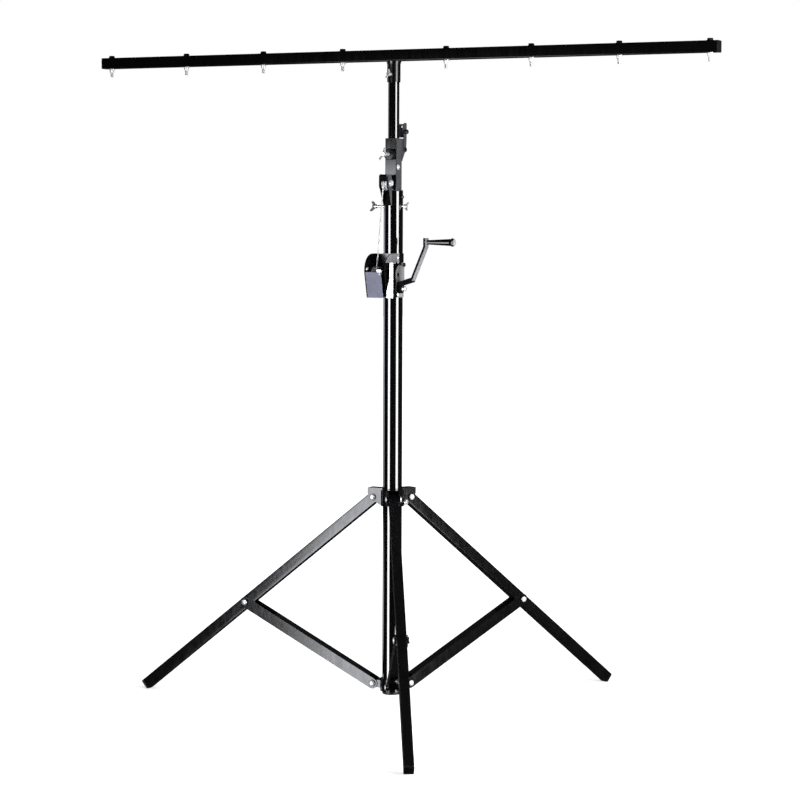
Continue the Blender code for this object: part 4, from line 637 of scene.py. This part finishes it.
def winch_fasteners():
    """The winch's screws: on the left cheek, the strap, the gear plate's ear and the drum's axle."""
    head = hexagon_head("winch_screw", 0.009, 0.0040)
    right = (1, 0, 0)
    left = (-1, 0, 0)
    seats = {
        "cheek_screw_front": (right, (LEFT_CHEEK_INNER_X, -0.1095, 1.395), "zinc_plated_steel"),
        "cheek_screw_back": (right, (LEFT_CHEEK_INNER_X, -0.0520, 1.395), "zinc_plated_steel"),
        "cheek_screw_low": (left, (LEFT_CHEEK_X, -0.0950, 1.320), "zinc_plated_steel"),
        "cheek_screw_brow": (left, (LEFT_CHEEK_X, -0.0480, 1.425), "satin_black_paint"),
    }
    for name, (axis, place, slot) in seats.items():
        hand_in(another(head, name, along(axis, place)), "mast", slot)
    strap_out, _ = outward(STRAP_SCREW_AZIMUTH)
    for name, height in STRAP_HEIGHTS.items():
        place = strap_out * STRAP_SCREW_REACH + Vector((0, 0, height))
        piece = another(head, f"strap_screw_{name}", along(strap_out, place))
        hand_in(piece, "mast", "zinc_plated_steel")
    bpy.data.objects.remove(head)
    rod = [(0, SPACER_LENGTH), (0.005, SPACER_LENGTH), (0.005, 0), (0, 0)]
    spacer = lathe("gear_plate_spacer", rod, 28)
    settle(spacer, along(right, (SPACER_SEAT_X, *GEAR_PLATE_EAR)))
    hand_in(spacer, "mast", "satin_black_paint")
    ear_head = hexagon_head("gear_plate_bolt", 0.011, 0.0055)
    settle(ear_head, along(right, (GEAR_PLATE_X, *GEAR_PLATE_EAR)))
    hand_in(ear_head, "mast", "satin_black_paint")
    cap = lathe("axle_cap", [(0, 0.0016), (0.004, 0.0013), (0.0062, 0.0006), (0.0065, 0), (0, 0)], 32)
    settle(cap, along(right, (GEAR_PLATE_X, WINCH_Y, DRUM_Z)))
    hand_in(cap, "mast", "satin_black_paint")


def head_fasteners():
    """The screw through the head box's side and the one that holds the guide bush in the mast."""
    ring = [(0, 0.0010), (0.0078, 0.0010), (0.0082, 0.0006), (0.0082, 0), (0, 0)]
    head = hexagon_head("box_bolt_head", 0.0085, 0.0042)
    side = joined("head_box_bolt", [head, lathe("box_bolt_washer", ring, 32)])
    settle(side, along((1, 0, 0), HEAD_BOLT_SEAT))
    hand_in(side, "lift", "zinc_plated_steel")
    bush = hexagon_head("guide_bush_screw", 0.008, 0.0045)
    settle(bush, along((1, 0, 0), BUSH_SCREW_SEAT))
    hand_in(bush, "mast", "satin_black_paint")


def clamp_sleeve():
    """A moulded black sleeve round the head clamp's boss."""
    rim = [(0.0052, 0.0165), (0.0150, 0.0165), (0.0172, 0.0150), (0.0176, 0.0130), (0.0176, 0.0006)]
    profile = rim + [(0.0162, 0.0006), (0.0162, 0.0143), (0.0052, 0.0143), rim[0]]
    sleeve = lathe("clamp_boss_sleeve", profile, 48)
    settle(sleeve, along((0, -1, 0), (0, HEAD_FRONT_Y, HEAD_CLAMP_Z)))
    hand_in(sleeve, "lift", "black_nylon")


def lamp_bolts():
    """Hexagon bolts down through the bar, each with a washer and a cast wing nut underneath."""
    foot = BAR_CENTRE_Z - BAR_HALF
    top = BAR_CENTRE_Z + BAR_HALF
    seat = top + 0.0018
    head = hexagon_head("lamp_bolt_head", 0.0155, 0.0050)
    settle(head, Matrix.Translation((0, 0, seat)))
    ring = [(0, seat), (0.0102, seat), (0.0105, top + 0.0015), (0.0105, top + 0.0003), (0, top + 0.0003)]
    washer = lathe("lamp_bolt_washer", ring, 32)
    shank = [(0, foot - 0.0263), (0.0040, foot - 0.0263)] + threads(foot - 0.0258, foot - 0.0125, 0.005)
    shank += [(0.0044, top), (0, top)]
    hub = [(0.0044, foot - 0.0113), (0.0066, foot - 0.0113), (0.0070, foot - 0.0105), (0.0080, foot - 0.0030),
           (0.0098, foot - 0.0021), (0.0098, foot - 0.0003), (0.0044, foot - 0.0003), (0.0044, foot - 0.0113)]
    wing = cast_wing("lamp_nut_wing", 0.0185, 0.0052, 0.0150, 0.0028)
    wings = []
    for turn in (20, 200):
        place = Matrix.Translation((0, 0, foot - 0.0030)) @ Matrix.Rotation(math.radians(turn), 4, "Z")
        wings.append(another(wing, f"lamp_wing_{turn}", place @ Matrix.Rotation(math.pi, 4, "X")))
    bpy.data.objects.remove(wing)
    cap = joined("lamp_bolt_cap", [head, washer])
    turned = [lathe("lamp_bolt_shank", shank, 24), lathe("lamp_nut_hub", hub, 28)]
    pattern = joined("lamp_bolt_pattern", turned + wings)
    steps = [LAMP_BOLT_FIRST + i * LAMP_BOLT_PITCH for i in range(LAMP_BOLTS_A_SIDE)]
    for number, x in enumerate([-step for step in reversed(steps)] + steps, 1):
        here = Matrix.Translation((x, 0, 0))
        bolt = another(pattern, f"lamp_bolt_with_nut_{number}", here)
        hand_in(bolt, "lamp_bar", "zinc_plated_steel", (f"lamp_bolt_{number}",))
        top_end = another(cap, f"lamp_bolt_head_{number}", here)
        hand_in(top_end, "lamp_bar", "satin_black_paint")
        top_end.data.materials[0] = BLACK_OXIDE
    bpy.data.objects.remove(pattern)
    bpy.data.objects.remove(cap)


def cast_wing(name, span, root, height, thickness):
    """One wing of a nut in the XZ plane: a bar drawn outwards and up, waisted, and rounded by subdivision."""
    piece = block(name, (root, 0, height * 0.30), (span * 0.12, thickness * 1.25, height * 0.62))
    bpy.ops.object.mode_set(mode="EDIT")
    choose(piece, lambda face: face.normal.x > 0.9)
    run = span - root - span * 0.06
    waist, bend, tip = (0.40, 0.22, 0.80, 0.80), (0.35, 0.24, 1.15, 1.0), (0.25, 0.10, 0.80, 0.95)
    for share, rise, tall, thin in (waist, bend, tip):
        move = (run * share, 0, height * rise)
        bpy.ops.mesh.extrude_region_move(TRANSFORM_OT_translate={"value": move})
        bpy.ops.transform.resize(value=(1, thin, tall))
    bpy.ops.object.mode_set(mode="OBJECT")
    rounding = piece.modifiers.new("rounding", "SUBSURF")
    rounding.levels = 2
    rounding.render_levels = 2
    bpy.ops.object.modifier_apply(modifier="rounding")
    return piece


def on_drum(x, angle):
    """A place on the cable's turns; the angle is from the drum's front, down and round underneath."""
    return Vector((x, WINCH_Y - WINDING_RADIUS * math.cos(angle), DRUM_Z - WINDING_RADIUS * math.sin(angle)))


def wire_rope(name, path, radius, lay=0.022):
    """Six strands laid round a route, as the real rope is made; the route's points are evenly drawn again."""
    lengths = [0.0]
    for before, here in zip(path, path[1:]):
        lengths.append(lengths[-1] + (here - before).length)
    count = max(8, round(lengths[-1] / STRAND_STEP))
    even = []
    at = 0
    for i in range(count + 1):
        want = lengths[-1] * i / count
        while at < len(path) - 2 and lengths[at + 1] < want:
            at += 1
        share = (want - lengths[at]) / max(1e-9, lengths[at + 1] - lengths[at])
        even.append(path[at].lerp(path[at + 1], min(1.0, share)))
    side = Vector((0, 0, 1)).cross(even[1] - even[0])
    side = side.normalized() if side.length > 1e-6 else Vector((1, 0, 0))
    rope = bpy.data.curves.new(name, "CURVE")
    rope.dimensions = "3D"
    rope.bevel_depth = radius / 3
    rope.bevel_resolution = 1
    rope.use_fill_caps = True
    strands = [[] for _ in range(STRANDS)]
    for i, place in enumerate(even):
        ahead = (even[min(i + 1, count)] - even[max(i - 1, 0)]).normalized()
        side = (side - side.dot(ahead) * ahead).normalized()
        other = ahead.cross(side)
        for number, strand in enumerate(strands):
            turn = 2 * math.pi * (i * lengths[-1] / count / lay + number / STRANDS)
            strand.append(place + (side * math.cos(turn) + other * math.sin(turn)) * radius * 2 / 3)
    for strand in strands:
        spline = rope.splines.new("POLY")
        spline.points.add(len(strand) - 1)
        for point, place in zip(spline.points, strand):
            point.co = (*place, 1)
    piece = bpy.data.objects.new(name, rope)
    scene.collection.objects.link(piece)
    pick(piece)
    bpy.ops.object.convert(target="MESH")
    return piece


def cables():
    """The rope on the drum, and its run from a last loop up over the pulley."""
    count = 24 * 7
    turns = [WINDING_TURNS * i / count for i in range(count + 1)]
    coil = [on_drum(FIRST_TURN_X + WINDING_PITCH * t, 2 * math.pi * (t - WINDING_TURNS) - 0.6) for t in turns]
    wound = wire_rope("rope_on_the_drum", coil, CABLE_RADIUS)
    hand_in(wound, "drum", "galvanised_cable", ("drum_winding",), 60)
    rise = PULLEY_Z - DRUM_Z
    run = PULLEY_Y - WINCH_Y
    lean = math.atan2(run, rise) + math.asin((WINDING_RADIUS - PULLEY_WRAP) / math.hypot(run, rise))
    start = math.radians(315)
    route = [on_drum(LAST_TURN_X, start - (start + lean) * i / 40) for i in range(41)]
    for i in range(25):
        turn = (math.pi - lean) * (1 - i / 24)
        back, up = PULLEY_WRAP * math.cos(turn), PULLEY_WRAP * math.sin(turn)
        route.append(Vector((PULLEY_X, PULLEY_Y + back, PULLEY_Z + up)))
    route.append(Vector((PULLEY_X, CABLE_INNER_Y, PULLEY_Z - 0.006)))
    raised = wire_rope("rope_to_the_pulley", route, CABLE_RADIUS)
    hand_in(raised, "mast", "galvanised_cable", ("lift_cable_outer",), 60)


def inner_cable():
    """The part of the rope inside the mast, given a mesh of its own; in the stand it grows shorter as the
    middle tube is drawn up.
    """
    piece = carried_over("lift_cable_inner")
    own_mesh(piece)


def camera():
    """The photograph's view: a long lens at eye level, to the right of the stand's front."""
    lens = bpy.data.cameras.new("camera")
    lens.sensor_width = SENSOR_WIDTH
    lens.lens = FOCAL_LENGTH
    view = bpy.data.objects.new("camera", lens)
    scene.collection.objects.link(view)
    ahead = Vector((-math.sin(CAMERA_AZIMUTH) * math.cos(CAMERA_PITCH),
                    math.cos(CAMERA_AZIMUTH) * math.cos(CAMERA_PITCH),
                    -math.sin(CAMERA_PITCH)))
    right = Vector((math.cos(CAMERA_AZIMUTH), math.sin(CAMERA_AZIMUTH), 0))
    level = Matrix((right, right.cross(ahead), -ahead)).transposed().to_4x4()
    matrix = level @ Matrix.Rotation(CAMERA_ROLL, 4, "Z")
    matrix.translation = CAMERA_PLACE
    view.matrix_world = matrix
    scene.camera = view


def softbox(name, azimuth, distance, spread, ends, radiance, colour, use="both"):
    """A tall light panel that faces the mast; its azimuth is turned from the camera's own, in degrees."""
    foot, top = ends
    lamp = bpy.data.lights.new(name, "AREA")
    lamp.shape = "RECTANGLE"
    lamp.size = 2 * distance * math.tan(math.radians(spread / 2))
    lamp.size_y = top - foot
    lamp.energy = radiance * math.pi * lamp.size * lamp.size_y
    lamp.color = colour
    panel = bpy.data.objects.new(name, lamp)
    scene.collection.objects.link(panel)
    turn = CAMERA_AZIMUTH + math.radians(azimuth)
    away = Vector((math.sin(turn), -math.cos(turn), 0))
    place = away * distance + Vector((0, 0, (top + foot) / 2))
    panel.matrix_world = Matrix.Translation(place) @ (-away).to_track_quat("-Z", "Y").to_matrix().to_4x4()
    panel.visible_diffuse = use != "shine"
    panel.visible_glossy = use != "fill"


# A colour mix's two inputs and its output, by number, since its other kinds of value share their names
MIX_FIRST, MIX_SECOND, MIX_RESULT = 6, 7, 2
FLOOR_GLOW = {"From Min": 1.1, "From Max": 3.2, "To Min": 0.50, "To Max": 1.0}
SHADE_COLOUR = (0.50, 0.50, 0.51, 1)
WHITE = (1, 1, 1, 1)
PLAIN_LIGHT = (1.0, 1.0, 1.0)
COOL_LIGHT = (0.94, 0.95, 1.0)


def studio():
    """White in the picture, dark in all that the paint mirrors, with four light panels round the stand."""
    world = bpy.data.worlds.new("studio")
    scene.world = world
    world.use_nodes = True
    tree = world.node_tree
    background = tree.nodes["Background"]
    rays = add(tree, "ShaderNodeLightPath").outputs
    way = add(tree, "ShaderNodeTexCoord").outputs["Generated"]
    back = (-math.sin(CAMERA_AZIMUTH), math.cos(CAMERA_AZIMUTH), 0.0)
    facing = add(tree, "ShaderNodeVectorMath", {"operation": "DOT_PRODUCT"})
    tree.links.new(way, facing.inputs[0])
    facing.inputs[1].default_value = back
    sweep = ramp(tree, facing.outputs["Value"], [(0.0, 0.012), (0.60, 0.02), (0.95, 0.03)])
    mirrored = add(tree, "ShaderNodeMath", {"operation": "MAXIMUM"})
    tree.links.new(rays["Is Glossy Ray"], mirrored.inputs[0])
    tree.links.new(rays["Is Transmission Ray"], mirrored.inputs[1])
    plain = add(tree, "ShaderNodeMix", {"data_type": "RGBA"}, {"Factor": mirrored.outputs[0]})
    plain.inputs[MIX_FIRST].default_value = SHADE_COLOUR
    tree.links.new(sweep, plain.inputs[MIX_SECOND])
    seen = add(tree, "ShaderNodeMix", {"data_type": "RGBA"}, {"Factor": rays["Is Camera Ray"]})
    tree.links.new(plain.outputs[MIX_RESULT], seen.inputs[MIX_FIRST])
    seen.inputs[MIX_SECOND].default_value = WHITE
    tree.links.new(seen.outputs[MIX_RESULT], background.inputs["Color"])
    softbox("right_panel", 52.5, 1.9, 27, (-0.4, 2.3), 8.0, PLAIN_LIGHT)
    softbox("left_panel", -46, 2.5, 24, (-1.0, 1.78), 9.0, COOL_LIGHT, "shine")
    softbox("far_left_panel", -128, 3.0, 16, (-1.2, 2.3), 1.5, COOL_LIGHT, "shine")
    softbox("right_fill", 75, 2.2, 40, (0.2, 2.3), 4.0, PLAIN_LIGHT, "fill")
    floor()


def floor():
    """A matt white floor without an edge in view; its glow grows outwards, so the stand's shadow stays."""
    clear_selection()
    bpy.ops.mesh.primitive_plane_add(size=60, location=(0, 0, 0))
    ground = bpy.context.object
    ground.name = "floor"
    made, tree, shader, place = finish("matt_white_floor")
    rays = add(tree, "ShaderNodeLightPath").outputs
    specks = noise(tree, place, 0.4, 3.0)
    tree.links.new(ramp(tree, specks, [(0.3, "#f2f2f2"), (0.7, "#f6f6f6")]), shader.inputs["Base Color"])
    shader.inputs["Roughness"].default_value = 0.85
    shader.inputs["Specular IOR Level"].default_value = 0.2
    shader.inputs["Emission Color"].default_value = WHITE
    away = add(tree, "ShaderNodeVectorMath", {"operation": "LENGTH"}, {"Vector": place}).outputs["Value"]
    spread = add(tree, "ShaderNodeMapRange", links={"Value": away})
    for key, value in FLOOR_GLOW.items():
        spread.inputs[key].default_value = value
    glow = add(tree, "ShaderNodeMath", {"operation": "MULTIPLY"})
    tree.links.new(rays["Is Camera Ray"], glow.inputs[0])
    tree.links.new(spread.outputs["Result"], glow.inputs[1])
    tree.links.new(glow.outputs[0], shader.inputs["Emission Strength"])
    ground.data.materials.append(made)
    ground.visible_glossy = False


camera()
studio()
tubes()
bright_bolt_ends()
winch_fasteners()
head_fasteners()
clamp_sleeve()
crank()
winch_frame()
head_box()
pulley_fork()
cover_keeper()
lamp_bolts()
cables()
inner_cable()
for node_name in nodes:
    if node_name not in finished:
        carried_over(node_name, SOFT_EDGES.get(node_name, 0.0))
